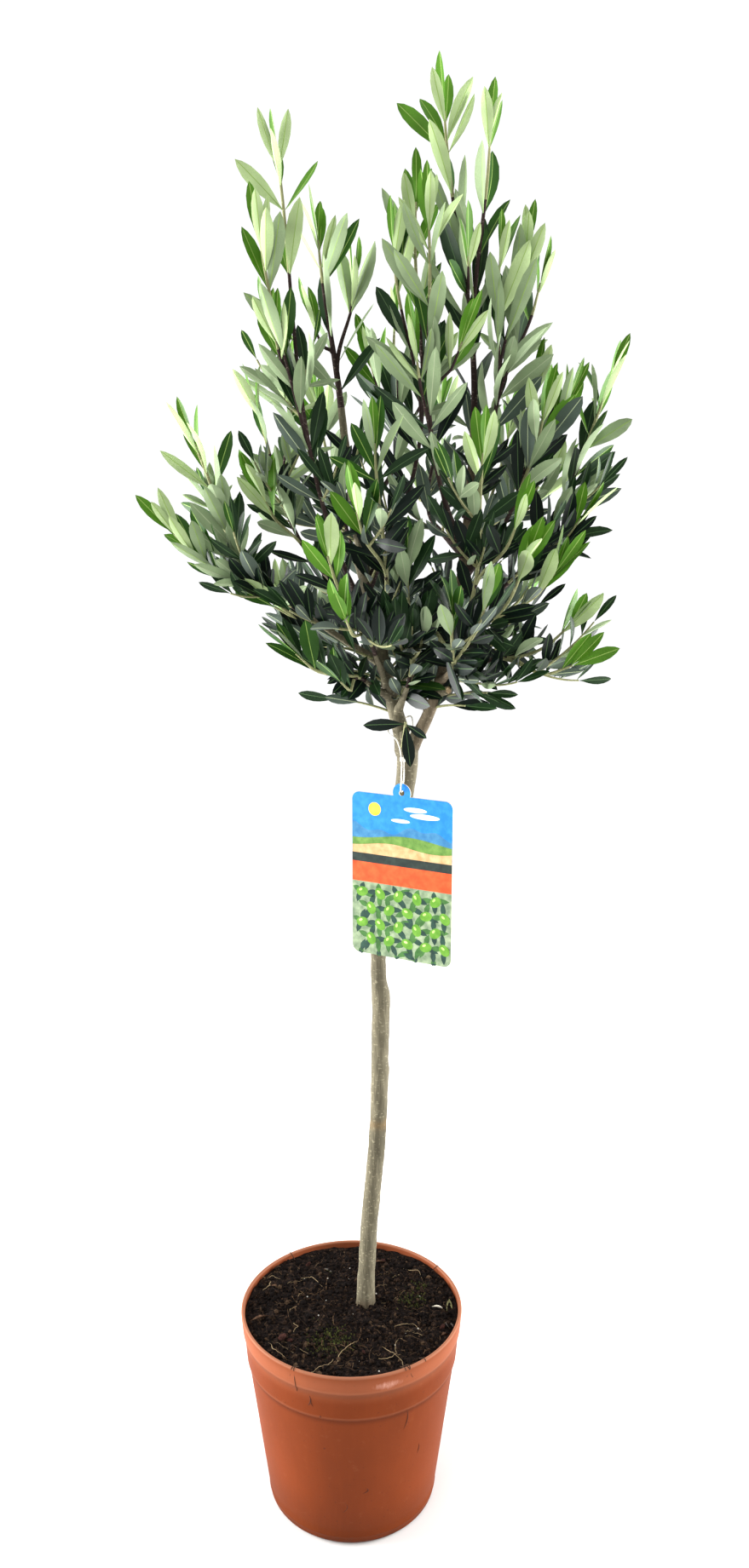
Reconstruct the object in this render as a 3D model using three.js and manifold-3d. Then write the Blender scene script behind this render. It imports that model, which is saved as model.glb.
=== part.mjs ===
// A young olive tree trained as a small standard, in its nursery pot, with its hang card.
// Millimetres, Z up. The origin is the centre of the pot's flat underside, and -Y is the front.
import * as THREE from "three";
import { mergeVertices } from "three/addons/utils/BufferGeometryUtils.js";
import Module from "manifold-3d";

const wasm = await Module();
wasm.setup();

const GAP = 0.3; // clearance between pieces that touch on the real plant
const NECK = 1e-3; // corners closer than this are one corner
const UP = new THREE.Vector3(0, 0, 1);
const FRONT = new THREE.Vector3(0, -1, 0);

// Pot: a tapering body, a collar on it and a rim band on that
const POT_HEIGHT = 198;
const POT_BASE_RADIUS = 80.5;
const POT_BASE_ROUND = 6;
const POT_WALL = 2;
const POT_FLOOR = 2.5;
const COLLAR_HEIGHT = 149.5;
const COLLAR_RADIUS = 98.6;
const RIM_HEIGHT = 178.5;
const RIM_RADIUS = 104.8;
const STEP = 1.3; // how far the collar and the rim band stand out
const DRAIN_HOLES = 6;
const DRAIN_RADIUS = 4.5;
const DRAIN_CIRCLE = 62;
const POT_SIDES = 32;

// Soil: level round the trunk, a little lower at the pot's wall
const SOIL_HEIGHT = 194.5;
const SOIL_EDGE_HEIGHT = 192.5;
const SOIL_LEVEL_RADIUS = 48;

// Trunk, from its flat cut at the soil to the fork: height, lean to the right, depth, diameter
const TRUNK_STATIONS = [
  [SOIL_HEIGHT, 13, 6.5, 16],
  [278, 17, 9, 15.7],
  [367, 24.6, 11.5, 15.5],
  [470, 27.3, 13.2, 16],
  [504, 27.6, 13.6, 16.4],
  [530, 25.2, 13.2, 13.2],
  [590, 28, 12.4, 14.6],
  [660, 41, 10.4, 16.5],
  [718, 50, 8.6, 17.8],
  [750, 50.5, 8, 19.4],
];
const FLARE = 3.4; // extra radius where the root flare meets the soil
const FLARE_HEIGHT = 17;
const FORK_TAPER = 0.62; // how the trunk draws in at its very top, inside the fork
const TRUNK_SIDES = 10;
const TRUNK_RINGS = 24;

// Crown: bearings are turned from the right towards the back, and reaches are from this axis
const CROWN_AXIS = new THREE.Vector2(50, 8);
const BOUGH_SIDES = 6;
const BOUGH_RINGS = 4;
const MAIN_TIP_RADIUS = 3.4;
const BRANCH_FOOT_RADIUS = 3.5;
const BRANCH_TIP_RADIUS = 2.2;
const BRANCH_BOW = [0.6, 0.44]; // how far a branch has gone out and up where its curve bends
const BRANCH_WOOD = 0.62; // share of a branch's curve that is a bare bough, before its shoot starts

// The limbs and the shoots that grow on from them. A limb leaves its parent at a share of its
// length, and its end and the tips of its shoots are each a bearing, a reach and a height.
// The twiggy share is the part of each stem that bears side twigs and not single leaves.
const LIMBS = {
  left_bough: {
    on: "trunk", at: 0.97, radius: 7, bow: [0.66, 0.4], end: [172, 56, 1019],
    shoot: "centre_left", tips: [[178, 77, 1186], [144, 48, 1159], [-172, 92, 1120]], twiggy: 0.35,
  },
  right_bough: {
    on: "trunk", at: 0.975, radius: 5.4, bow: [0.9, 0.22], end: [-18, 54, 1009],
    shoot: "crown_top", tips: [[-38, 27, 1274], [-35, 73, 1251], [-59, 79, 1160]], twiggy: 0.3,
  },
  far_left_bough: {
    on: "left_bough", at: 0.27, bow: [0.5, 0.46], end: [-160, 134, 885],
    shoot: "far_left", tips: [[-163, 222, 949], [-166, 189, 1026], [-164, 150, 880]], twiggy: 0.5,
  },
  low_left_bough: {
    on: "left_bough", at: 0.17, end: [-140, 62, 812],
    shoot: "low_left", tips: [[-148, 138, 852], [-130, 112, 824]], twiggy: 0.7,
  },
  tall_left_bough: {
    on: "left_bough", at: 0.36, end: [-147, 86, 950],
    shoot: "tall_left", tips: [[-168, 109, 1241], [-153, 135, 1173], [-153, 129, 1110]], twiggy: 0.3,
  },
  mid_left_bough: {
    on: "left_bough", at: 0.42, end: [-176, 90, 909],
    shoot: "mid_left", tips: [[-175, 135, 1057], [-163, 141, 986], [170, 98, 1080]], twiggy: 0.6,
  },
  centre_bough: {
    on: "left_bough", at: 0.5, end: [33, 15, 991],
    shoot: "top_left", tips: [[-60, 10, 1212], [-116, 41, 1172]], twiggy: 0.35,
  },
  upper_front_bough: {
    on: "right_bough", at: 0.62, end: [-72, 52, 985],
    shoot: "upper_front", tips: [[-80, 58, 1190], [-92, 66, 1095], [-52, 84, 1100]], twiggy: 0.45,
  },
  upper_back_bough: {
    on: "left_bough", at: 0.68, end: [96, 42, 985],
    shoot: "upper_back", tips: [[100, 58, 1130], [62, 74, 1095], [128, 70, 1098]], twiggy: 0.5,
  },
  upper_right_bough: {
    on: "right_bough", at: 0.72, end: [-17, 75, 1026],
    shoot: "upper_right", tips: [[-22, 75, 1168], [-4, 112, 1151], [-5, 97, 1174]], twiggy: 0.4,
  },
  mid_right_bough: {
    on: "right_bough", at: 0.55, end: [-17, 94, 950],
    shoot: "mid_right", tips: [[-4, 108, 1074], [-20, 121, 1052], [-7, 142, 1062]], twiggy: 0.6,
  },
  far_right_bough: {
    on: "right_bough", at: 0.42, end: [-1, 92, 886],
    shoot: "far_right", tips: [[1, 178, 1078], [-10, 163, 964]], twiggy: 0.5,
  },
  low_right_bough: {
    on: "right_bough", at: 0.3, end: [-42, 93, 864],
    shoot: "low_right", tips: [[-30, 156, 922], [-49, 149, 938]], twiggy: 0.7,
  },
  lowest_right_bough: {
    on: "right_bough", at: 0.2, bow: [0.55, 0.62], end: [-22, 96, 830],
    shoot: "lowest_right", tips: [[-20, 178, 830], [-13, 164, 874], [-32, 91, 802]], twiggy: 0.7,
  },
  front_bough: {
    on: "right_bough", at: 0.24, end: [-65, 85, 821],
    shoot: "front", tips: [[-78, 140, 895], [-66, 155, 905], [-61, 88, 790]], twiggy: 0.6,
  },
  front_centre_bough: {
    on: "left_bough", at: 0.32, end: [-103, 74, 893],
    shoot: "front_centre", tips: [[-105, 116, 1025], [-110, 146, 971]], twiggy: 0.6,
  },
  front_left_bough: {
    on: "left_bough", at: 0.19, end: [-117, 75, 849],
    shoot: "front_left", tips: [[-117, 159, 939], [-111, 162, 885]], twiggy: 0.7,
  },
  front_right_bough: {
    on: "right_bough", at: 0.36, end: [-52, 85, 879],
    shoot: "front_right", tips: [[-62, 116, 1019], [-55, 156, 965]], twiggy: 0.6,
  },
  inner_front_bough: {
    on: "left_bough", at: 0.12, end: [-84, 34, 812],
    shoot: "inner_front", tips: [[-92, 83, 938], [-82, 104, 881], [-100, 112, 872]], twiggy: 0.7,
  },
  inner_back_bough: {
    on: "right_bough", at: 0.14, end: [96, 34, 815],
    shoot: "inner_back", tips: [[100, 60, 925], [104, 92, 892]], twiggy: 0.7,
  },
  low_back_right_bough: {
    on: "right_bough", at: 0.27, end: [38, 70, 835],
    shoot: "low_back_right", tips: [[32, 160, 905], [48, 150, 860]], twiggy: 0.7,
  },
  back_right_bough: {
    on: "right_bough", at: 0.46, end: [42, 80, 915],
    shoot: "back_right", tips: [[40, 128, 1042], [22, 160, 990]], twiggy: 0.6,
  },
  low_back_bough: {
    on: "left_bough", at: 0.16, end: [82, 68, 812],
    shoot: "low_back", tips: [[76, 150, 880], [98, 152, 850]], twiggy: 0.7,
  },
  back_bough: {
    on: "right_bough", at: 0.62, end: [81, 69, 943],
    shoot: "back", tips: [[72, 105, 1066], [88, 146, 985]], twiggy: 0.6,
  },
  low_back_left_bough: {
    on: "left_bough", at: 0.22, end: [136, 72, 832],
    shoot: "low_back_left", tips: [[150, 162, 895], [128, 152, 862]], twiggy: 0.7,
  },
  back_left_bough: {
    on: "left_bough", at: 0.46, end: [128, 84, 920],
    shoot: "back_left", tips: [[134, 122, 1062], [152, 150, 985]], twiggy: 0.6,
  },
};

// Shoots: a stem to each tip, the later ones forking from the first
const UPTURN = 0.28; // how strongly a stem turns upwards towards its tip
const STEM_LEAD = [0.38, 0.3]; // how far a stem keeps the heading of its foot and of its tip
const SIDE_STEM = 0.85; // radius of a side stem as a share of its parent's
const STEM_END_RADIUS = 1.6;
const STEM_RINGS = 5;
const FIRST_FORK = 0.22;
const NEXT_FORK = 0.2;
const STEM_SPACE = 1.4; // clearance of twigs and leaves from another shoot's space
const LIMB_SPACE = 1.2; // clearance of twigs and leaves from a limb's bark
const SHOOT_ROOM = 62; // how far a leaf may stand off its own shoot's stems
const OVERREACH = 5; // how far a leaf may pass its shoot's furthest or highest tip
const HANG = 13; // how far a leaf may hang below the nearest stem
const LEAF_BITE = 1; // most that a leaf may cut into its own shoot, at its root, in cubic millimetres
const TRIES = 6; // turns that a twig or leaf is given to find room before it is skipped

// Twigs and leaves. Lengths are in millimetres and angles in degrees
const NODE_PITCH = 42; // distance between nodes along a stem
const STEM_SIDES = 3;
const TWIG_LENGTH = 34;
const TWIG_RADIUS = 1.7;
const ROOT_TAPER = 0.35; // radius of a side stem or twig where it starts inside its parent, as a share
const TWIG_ANGLE = 52;
const TWIG_RISE = 0.6; // how strongly a twig turns upwards halfway along
const TWIG_PAIR = 0.6; // where on a twig its pair of leaves stands
const LEAF_LENGTH = 78;
const LEAF_WIDTH = 25;
const LEAF_SHOULDERS = [[0.28, 0.46], [0.66, 0.42]]; // an edge's two corners, along and across the leaf
const LEAF_FOLD = 1.7; // how far a leaf's edges stand over its midrib, which gives its thickness
const LEAF_ROOT = 0.5; // how far a leaf's root is sunk past the middle of its twig
const LEAF_ANGLE = 32;
const TWIG_LEAF_ANGLE = 48;
const END_PAIR_ANGLE = 24;
const LEAF_ROLL = 75; // how far a leaf may be rolled about its own length, either way
const END_LEAF_LENGTH = 58;
const END_LEAF_WIDTH = 24;
const END_PAIR = 0.93; // where the pair below an end leaf stands, as a share of the stem
const END_LEAF_ROLL = 0.6; // how far an end leaf may be rolled from facing the front, in radians

// Sprig on the front of the fork, between the two strands of the string
const SPRIG_FOOT = new THREE.Vector3(45.2, 5, 738);
const SPRIG_NODE = new THREE.Vector3(46, -10, 759);
const SPRIG_LEAF_LENGTH = 36;
const SPRIG_LEAF_WIDTH = 12;

// Hang card and its string
const CARD_WIDTH = 96;
const CARD_HEIGHT = 148;
const CARD_THICKNESS = 1;
const CARD_CORNER = 7;
const CARD_EYE = new THREE.Vector3(45.3, -7.5, 700.4);
const CARD_EYE_RADIUS = 2.6;
const CARD_SHOULDER = 3; // how far the card's straight top edge lies under the middle of the eye
const CARD_TAB_RADIUS = 8.5;
const CARD_YAW = 27;
const STRING_RADIUS = 0.7;

const MATERIALS = {
  bark: new THREE.MeshStandardMaterial({ color: "#837a5e", roughness: 0.85 }),
  foliage: new THREE.MeshStandardMaterial({ color: "#6f8a52", roughness: 0.6 }),
  terracotta: new THREE.MeshStandardMaterial({ color: "#b4593a", roughness: 0.65 }),
  soil: new THREE.MeshStandardMaterial({ color: "#2c221c", roughness: 1 }),
  card: new THREE.MeshStandardMaterial({ color: "#d9d3c4", roughness: 0.35 }),
  string: new THREE.MeshStandardMaterial({ color: "#e9e6de", roughness: 0.8 }),
};

// A closed geometry as a solid that can be joined and cut
function solidOf(geometry, tolerance = 1e-4) {
  geometry.deleteAttribute("normal");
  geometry.deleteAttribute("uv");
  const merged = mergeVertices(geometry, tolerance);
  return new wasm.Manifold(
    new wasm.Mesh({
      numProp: 3,
      vertProperties: merged.attributes.position.array,
      triVerts: new Uint32Array(merged.index.array),
    }),
  );
}

// The largest piece of a solid, with loose scraps dropped and sealed hollows filled
function largestPiece(solid) {
  const pieces = solid.decompose();
  return pieces.reduce((best, piece) => (piece.volume() > best.volume() ? piece : best));
}

// The same, without what hangs on only by less than a hair's width
function soundPiece(solid) {
  return largestPiece(solidOf(geometryOf(largestPiece(solid)), NECK));
}

function geometryOf(solid) {
  const mesh = solid.getMesh();
  const geometry = new THREE.BufferGeometry();
  geometry.setAttribute("position", new THREE.BufferAttribute(mesh.vertProperties, 3));
  geometry.setIndex(new THREE.BufferAttribute(mesh.triVerts, 1));
  geometry.computeVertexNormals();
  return geometry;
}

function lathe(profile, sides) {
  const outline = profile.map(([radius, height]) => new THREE.Vector2(radius, height));
  return new THREE.LatheGeometry(outline, sides).rotateX(Math.PI / 2);
}

// A tapering round bar bent along a path; radiusAt gives its radius at a share of its length
function limbGeometry(path, radiusAt, sides, rings) {
  const profile = [new THREE.Vector2(0, 0)];
  for (let ring = 0; ring <= rings; ring++) {
    profile.push(new THREE.Vector2(radiusAt(ring / rings), ring));
  }
  profile.push(new THREE.Vector2(0, rings));
  const bar = new THREE.LatheGeometry(profile, sides);
  const frames = path.computeFrenetFrames(rings, false);
  const places = bar.attributes.position;
  for (let i = 0; i < places.count; i++) {
    const ring = Math.round(places.getY(i));
    const place = path.getPointAt(ring / rings);
    place.addScaledVector(frames.binormals[ring], places.getX(i));
    place.addScaledVector(frames.normals[ring], places.getZ(i));
    places.setXYZ(i, place.x, place.y, place.z);
  }
  return bar;
}

// A place given by its bearing, reach and height round the crown's axis
function crownPlace([bearing, reach, height]) {
  const angle = THREE.MathUtils.degToRad(bearing);
  return new THREE.Vector3(
    CROWN_AXIS.x + reach * Math.cos(angle),
    CROWN_AXIS.y + reach * Math.sin(angle),
    height,
  );
}

// A repeatable number from 0 to 1 for each list of whole numbers
function chance(...keys) {
  let mixed = 2166136261;
  for (const key of keys) {
    mixed = Math.imul(mixed ^ key, 16777619) >>> 0;
    mixed = (mixed ^ (mixed >>> 15)) >>> 0;
  }
  mixed = Math.imul(mixed, 2246822519) >>> 0;
  return ((mixed ^ (mixed >>> 13)) >>> 0) / 4294967296;
}

// Pot
function potWall() {
  const outside = [];
  for (const turn of [0, 0.5, 1]) {
    const angle = (turn * Math.PI) / 2;
    outside.push([
      POT_BASE_RADIUS - POT_BASE_ROUND * (1 - Math.sin(angle)),
      POT_BASE_ROUND * (1 - Math.cos(angle)),
    ]);
  }
  const slope = (RIM_RADIUS - STEP - COLLAR_RADIUS - STEP) / (POT_HEIGHT - COLLAR_HEIGHT);
  const rimFoot = COLLAR_RADIUS + STEP + slope * (RIM_HEIGHT - COLLAR_HEIGHT);
  outside.push([COLLAR_RADIUS, COLLAR_HEIGHT]);
  outside.push([COLLAR_RADIUS + STEP, COLLAR_HEIGHT + STEP]);
  outside.push([rimFoot, RIM_HEIGHT]);
  outside.push([rimFoot + STEP, RIM_HEIGHT + STEP]);
  outside.push([RIM_RADIUS, POT_HEIGHT - 1]);
  return outside;
}

function pot() {
  const outside = potWall();
  const inside = outside.slice(2).map(([radius, height]) => [radius - POT_WALL, height]);
  inside[0] = [POT_BASE_RADIUS - POT_WALL - POT_FLOOR, POT_FLOOR];
  const lip = [[RIM_RADIUS - 0.8, POT_HEIGHT], [RIM_RADIUS - POT_WALL, POT_HEIGHT]];
  inside.pop();
  const profile = [[0, 0], ...outside, ...lip, ...inside.reverse(), [0, POT_FLOOR]];
  let shell = solidOf(lathe(profile, POT_SIDES));
  for (let hole = 0; hole < DRAIN_HOLES; hole++) {
    const angle = ((hole + 0.5) * 2 * Math.PI) / DRAIN_HOLES;
    const drill = new THREE.CylinderGeometry(DRAIN_RADIUS, DRAIN_RADIUS, 4 * POT_FLOOR, 12);
    drill.rotateX(Math.PI / 2);
    drill.translate(DRAIN_CIRCLE * Math.cos(angle), DRAIN_CIRCLE * Math.sin(angle), 0);
    shell = shell.subtract(solidOf(drill));
  }
  return geometryOf(shell);
}

// Soil that fills the pot
function soil() {
  const wall = potWall().slice(2).map(([radius, height]) => [radius - POT_WALL - GAP, height]);
  wall[0] = [POT_BASE_RADIUS - POT_WALL - POT_FLOOR - GAP, POT_FLOOR + GAP];
  const sides = wall.filter(([, height]) => height < SOIL_EDGE_HEIGHT);
  const edge = sides[sides.length - 1][0];
  const profile = [
    [0, POT_FLOOR + GAP],
    ...sides,
    [edge, SOIL_EDGE_HEIGHT],
    [SOIL_LEVEL_RADIUS, SOIL_HEIGHT],
    [0, SOIL_HEIGHT],
  ];
  return lathe(profile, POT_SIDES);
}

// Trunk
function trunkLimb() {
  const centre = TRUNK_STATIONS.map(([height, lean, depth]) => new THREE.Vector3(lean, depth, height));
  centre.unshift(centre[0].clone().setZ(SOIL_HEIGHT - 20));
  const path = new THREE.CatmullRomCurve3(centre, false, "centripetal");
  const radiusAt = (share) => {
    const height = path.getPointAt(share).z;
    const above = TRUNK_STATIONS.findIndex((station) => station[0] >= height);
    const next = TRUNK_STATIONS[Math.max(above, 1)];
    const last = TRUNK_STATIONS[Math.max(above, 1) - 1];
    const part = THREE.MathUtils.clamp((height - last[0]) / (next[0] - last[0]), 0, 1);
    const flare = FLARE * Math.exp(-Math.max(height - SOIL_HEIGHT, 0) / FLARE_HEIGHT);
    const taper = share === 1 ? FORK_TAPER : 1;
    return (taper * THREE.MathUtils.lerp(last[3], next[3], part)) / 2 + flare;
  };
  return { path, radiusAt, sides: TRUNK_SIDES, rings: TRUNK_RINGS };
}

function trunk(limb) {
  const bar = solidOf(limbGeometry(limb.path, limb.radiusAt, limb.sides, limb.rings));
  const ground = new THREE.BoxGeometry(200, 200, 100);
  ground.translate(0, 0, SOIL_HEIGHT + GAP - 50);
  return bar.subtract(solidOf(ground));
}

// Boughs
function boughLimb(spec, limbs) {
  const foot = limbs[spec.on].path.getPointAt(spec.at);
  const end = crownPlace(spec.end);
  const [out, rise] = spec.bow ?? BRANCH_BOW;
  const bend = new THREE.Vector3(
    THREE.MathUtils.lerp(foot.x, end.x, out),
    THREE.MathUtils.lerp(foot.y, end.y, out),
    THREE.MathUtils.lerp(foot.z, end.z, rise),
  );
  const whole = new THREE.QuadraticBezierCurve3(foot, bend, end);
  const wood = spec.radius ? 1 : BRANCH_WOOD;
  const path = new THREE.QuadraticBezierCurve3(foot, foot.clone().lerp(bend, wood), whole.getPoint(wood));
  const footRadius = spec.radius ?? BRANCH_FOOT_RADIUS;
  const endRadius = spec.radius ? MAIN_TIP_RADIUS : BRANCH_TIP_RADIUS;
  const radiusAt = (share) => THREE.MathUtils.lerp(footRadius, endRadius, share);
  return { path, radiusAt, endRadius, sides: BOUGH_SIDES, rings: BOUGH_RINGS };
}

// A limb with the clearance added all round, which its neighbours are cut to
function grownLimb(limb) {
  const thicker = (share) => limb.radiusAt(share) + GAP / Math.cos(Math.PI / limb.sides);
  return solidOf(limbGeometry(limb.path, thicker, limb.sides, limb.rings));
}

// A bar or sprig cut clear of its neighbours
function coped(solid, neighbours) {
  return soundPiece(neighbours.reduce((rest, neighbour) => rest.subtract(neighbour), solid));
}

// Stems of a shoot
function stemTo(from, heading, tip, footRadius) {
  const rise = tip.clone().sub(from).normalize().addScaledVector(UP, UPTURN).normalize();
  const end = tip.clone().addScaledVector(rise, -END_LEAF_LENGTH);
  const span = end.distanceTo(from);
  const path = new THREE.CubicBezierCurve3(
    from,
    from.clone().addScaledVector(heading, STEM_LEAD[0] * span),
    end.clone().addScaledVector(rise, -STEM_LEAD[1] * span),
    end,
  );
  const radiusAt = (share) => THREE.MathUtils.lerp(footRadius, STEM_END_RADIUS, share);
  return { path, radiusAt, tip };
}

// Thinner at its very foot, so that a side stem or twig starts inside its parent
function rooted(radiusAt) {
  return (share) => radiusAt(share) * (share === 0 ? ROOT_TAPER : 1);
}

function shootStems(spec, limb) {
  const heading = limb.path.getTangentAt(1);
  const foot = limb.path.getPointAt(1).addScaledVector(heading, GAP);
  const tips = spec.tips.map(crownPlace);
  const main = stemTo(foot, heading, tips[0], limb.endRadius);
  const side = tips.slice(1).map((tip, i) => {
    const share = FIRST_FORK + NEXT_FORK * i;
    const from = main.path.getPointAt(share);
    const stem = stemTo(from, main.path.getTangentAt(share), tip, main.radiusAt(share) * SIDE_STEM);
    return { ...stem, radiusAt: rooted(stem.radiusAt) };
  });
  return [main, ...side];
}

// Space: each shoot keeps the room that is nearer its own stems than any other's
function addSpans(bar, count) {
  const points = bar.path.getSpacedPoints(count);
  bar.spans = points.slice(1).map((point, i) => ({
    line: new THREE.Line3(points[i], point),
    radius: bar.radiusAt(i / count),
  }));
}

function nearestBark(place, bars) {
  const nearest = new THREE.Vector3();
  const best = { away: Infinity, height: 0 };
  for (const { line, radius } of bars.flatMap((bar) => bar.spans)) {
    line.closestPointToPoint(place, true, nearest);
    const away = nearest.distanceTo(place) - radius;
    if (away < best.away) Object.assign(best, { away, height: nearest.z });
  }
  return best;
}

function reachOf(place) {
  return Math.hypot(place.x - CROWN_AXIS.x, place.y - CROWN_AXIS.y);
}

function spaceOf(name, shoots, limbs) {
  const otherNames = Object.keys(shoots).filter((other) => other !== name);
  const others = otherNames.flatMap((other) => shoots[other]);
  const bark = Object.values(limbs);
  const ends = shoots[name].flatMap((stem) => [stem.tip, stem.path.getPointAt(0)]);
  const furthest = Math.max(...ends.map(reachOf)) + OVERREACH;
  const highest = Math.max(...ends.map((end) => end.z)) + OVERREACH;
  return (place) => {
    if (reachOf(place) > furthest || place.z > highest) return false;
    const home = nearestBark(place, shoots[name]);
    if (home.away > SHOOT_ROOM || place.z < home.height - HANG) return false;
    if (nearestBark(place, bark).away < LIMB_SPACE) return false;
    return nearestBark(place, others).away > home.away + STEM_SPACE;
  };
}

// The two directions square to a heading, the first outwards and down as far as it can be
function acrossOf(heading, outwards) {
  const first = outwards.clone().multiplyScalar(0.6).addScaledVector(UP, -0.8);
  first.addScaledVector(heading, -first.dot(heading)).normalize();
  return [first, new THREE.Vector3().crossVectors(heading, first)];
}

// A heading leant over by an angle, towards a turn round it
function leant(heading, outwards, turn, lean) {
  const [first, second] = acrossOf(heading, outwards);
  const angle = THREE.MathUtils.degToRad(lean);
  return heading
    .clone()
    .multiplyScalar(Math.cos(angle))
    .addScaledVector(first, Math.sin(angle) * Math.cos(turn))
    .addScaledVector(second, Math.sin(angle) * Math.sin(turn));
}

// The six corners of a leaf: its root, its tip and two on each edge, folded up along the midrib
function leafCorners(root, heading, face, roll, length, width) {
  const side = new THREE.Vector3().crossVectors(heading, face).normalize();
  side.applyAxisAngle(heading, roll);
  const upper = new THREE.Vector3().crossVectors(side, heading);
  const edge = (along, across) =>
    root
      .clone()
      .addScaledVector(heading, along * length)
      .addScaledVector(side, across * width)
      .addScaledVector(upper, LEAF_FOLD);
  const [[low, lowHalf], [high, highHalf]] = LEAF_SHOULDERS;
  return [
    root.clone().addScaledVector(heading, -LEAF_ROOT),
    edge(low, lowHalf),
    edge(high, highHalf),
    root.clone().addScaledVector(heading, length),
    edge(high, -highHalf),
    edge(low, -lowHalf),
  ];
}

function leafSolid(corners) {
  const upperFaces = [0, 1, 5, 1, 2, 5, 2, 4, 5, 2, 3, 4];
  const lowerFaces = [3, 2, 1, 3, 1, 0, 3, 0, 5, 3, 5, 4];
  const geometry = new THREE.BufferGeometry().setFromPoints(corners);
  geometry.setIndex([...upperFaces, ...lowerFaces]);
  return solidOf(geometry);
}

// What grows on one shoot: its stems, side twigs and leaves, as solids still to be joined
class Growth {
  constructor(spec, number, stems, isFree) {
    const bearing = THREE.MathUtils.degToRad(spec.tips[0][0]);
    this.outwards = new THREE.Vector3(Math.cos(bearing), Math.sin(bearing), 0);
    this.twiggy = spec.twiggy;
    this.number = number;
    this.stems = stems;
    this.isFree = isFree;
    this.neighbours = [];
    this.body = stems
      .map(({ path, radiusAt }) => solidOf(limbGeometry(path, radiusAt, STEM_SIDES, STEM_RINGS)))
      .reduce((whole, bar) => whole.add(bar));
  }

  join(piece) {
    this.body = this.body.add(piece);
  }

  touches(piece) {
    return this.neighbours.some((other) => other.body.intersect(piece).volume() > 0);
  }

  addLeaf(root, heading, face, length, keys) {
    const roll = THREE.MathUtils.degToRad(LEAF_ROLL) * (2 * chance(...keys, 5) - 1);
    const corners = leafCorners(root, heading, face, roll, length, (LEAF_WIDTH * length) / LEAF_LENGTH);
    const ribs = [0.25, 0.5, 0.8].map((along) => root.clone().lerp(corners[3], along));
    if (![...corners.slice(1), ...ribs].every(this.isFree)) return false;
    const leaf = leafSolid(corners);
    if (this.body.intersect(leaf).volume() > LEAF_BITE || this.touches(leaf)) return false;
    this.join(leaf);
    return true;
  }

  // A leaf leant off a stem, turned on until it finds room
  addLeantLeaf(root, tangent, turn, lean, length, keys) {
    for (let attempt = 0; attempt < TRIES; attempt++) {
      const heading = leant(tangent, this.outwards, turn + 0.7 * attempt, lean);
      if (this.addLeaf(root, heading, tangent, length, [...keys, attempt])) return;
    }
  }

  // A pair of leaves on opposite sides of a stem
  addPair(root, tangent, turn, lean, length, keys) {
    this.addLeantLeaf(root, tangent, turn, lean, length, [...keys, 0]);
    this.addLeantLeaf(root, tangent, turn + Math.PI, lean, length, [...keys, 1]);
  }

  // A short twig that turns upwards, with a leaf at its end and a pair below that
  addTwig(from, tangent, turn, length, keys) {
    for (let attempt = 0; attempt < TRIES; attempt++) {
      const heading = leant(tangent, this.outwards, turn + 0.7 * attempt, TWIG_ANGLE);
      const bend = from.clone().addScaledVector(heading, length / 2);
      const rising = heading.clone().addScaledVector(UP, TWIG_RISE).normalize();
      const end = bend.clone().addScaledVector(rising, length / 2);
      if (![bend, end].every(this.isFree)) continue;
      const path = new THREE.QuadraticBezierCurve3(from, bend, end);
      const radiusAt = rooted((share) => TWIG_RADIUS * (1 - 0.15 * share));
      const twig = solidOf(limbGeometry(path, radiusAt, STEM_SIDES, 2));
      if (this.touches(twig)) continue;
      this.join(twig);
      const root = path.getPointAt(0.96);
      const spin = Math.PI * chance(...keys, 6);
      this.addLeantLeaf(root, rising, spin, 6, LEAF_LENGTH, [...keys, 2]);
      this.addPair(path.getPointAt(TWIG_PAIR), rising, spin, TWIG_LEAF_ANGLE, 0.9 * LEAF_LENGTH, keys);
      return;
    }
  }

  dressStem(stem, order) {
    const length = stem.path.getLength();
    for (let place = NODE_PITCH / 2; place < length - NODE_PITCH / 2; place += NODE_PITCH) {
      const share = place / length;
      const node = Math.round(place);
      const keys = [this.number, order, node];
      const from = stem.path.getPointAt(share);
      const tangent = stem.path.getTangentAt(share);
      const turn = ((place / NODE_PITCH) * Math.PI) / 2 + chance(...keys, 7);
      if (share < this.twiggy) this.addTwig(from, tangent, turn + Math.PI / 2, TWIG_LENGTH, [...keys, 9]);
      this.addPair(from, tangent, turn, LEAF_ANGLE, LEAF_LENGTH, keys);
    }
  }

  // The tuft that ends a stem: one leaf to the shoot's tip and a pair at its foot
  addTuft(stem, order) {
    const end = stem.path.getPointAt(1);
    const heading = stem.tip.clone().sub(end).normalize();
    const keys = [this.number, order, 997];
    const roll = END_LEAF_ROLL * (2 * chance(...keys) - 1);
    const corners = leafCorners(end, heading, FRONT, roll, END_LEAF_LENGTH, END_LEAF_WIDTH);
    this.join(leafSolid(corners));
    const root = stem.path.getPointAt(END_PAIR);
    this.addPair(root, heading, 3 * chance(...keys, 8), END_PAIR_ANGLE, 0.95 * END_LEAF_LENGTH, keys);
  }
}

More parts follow.
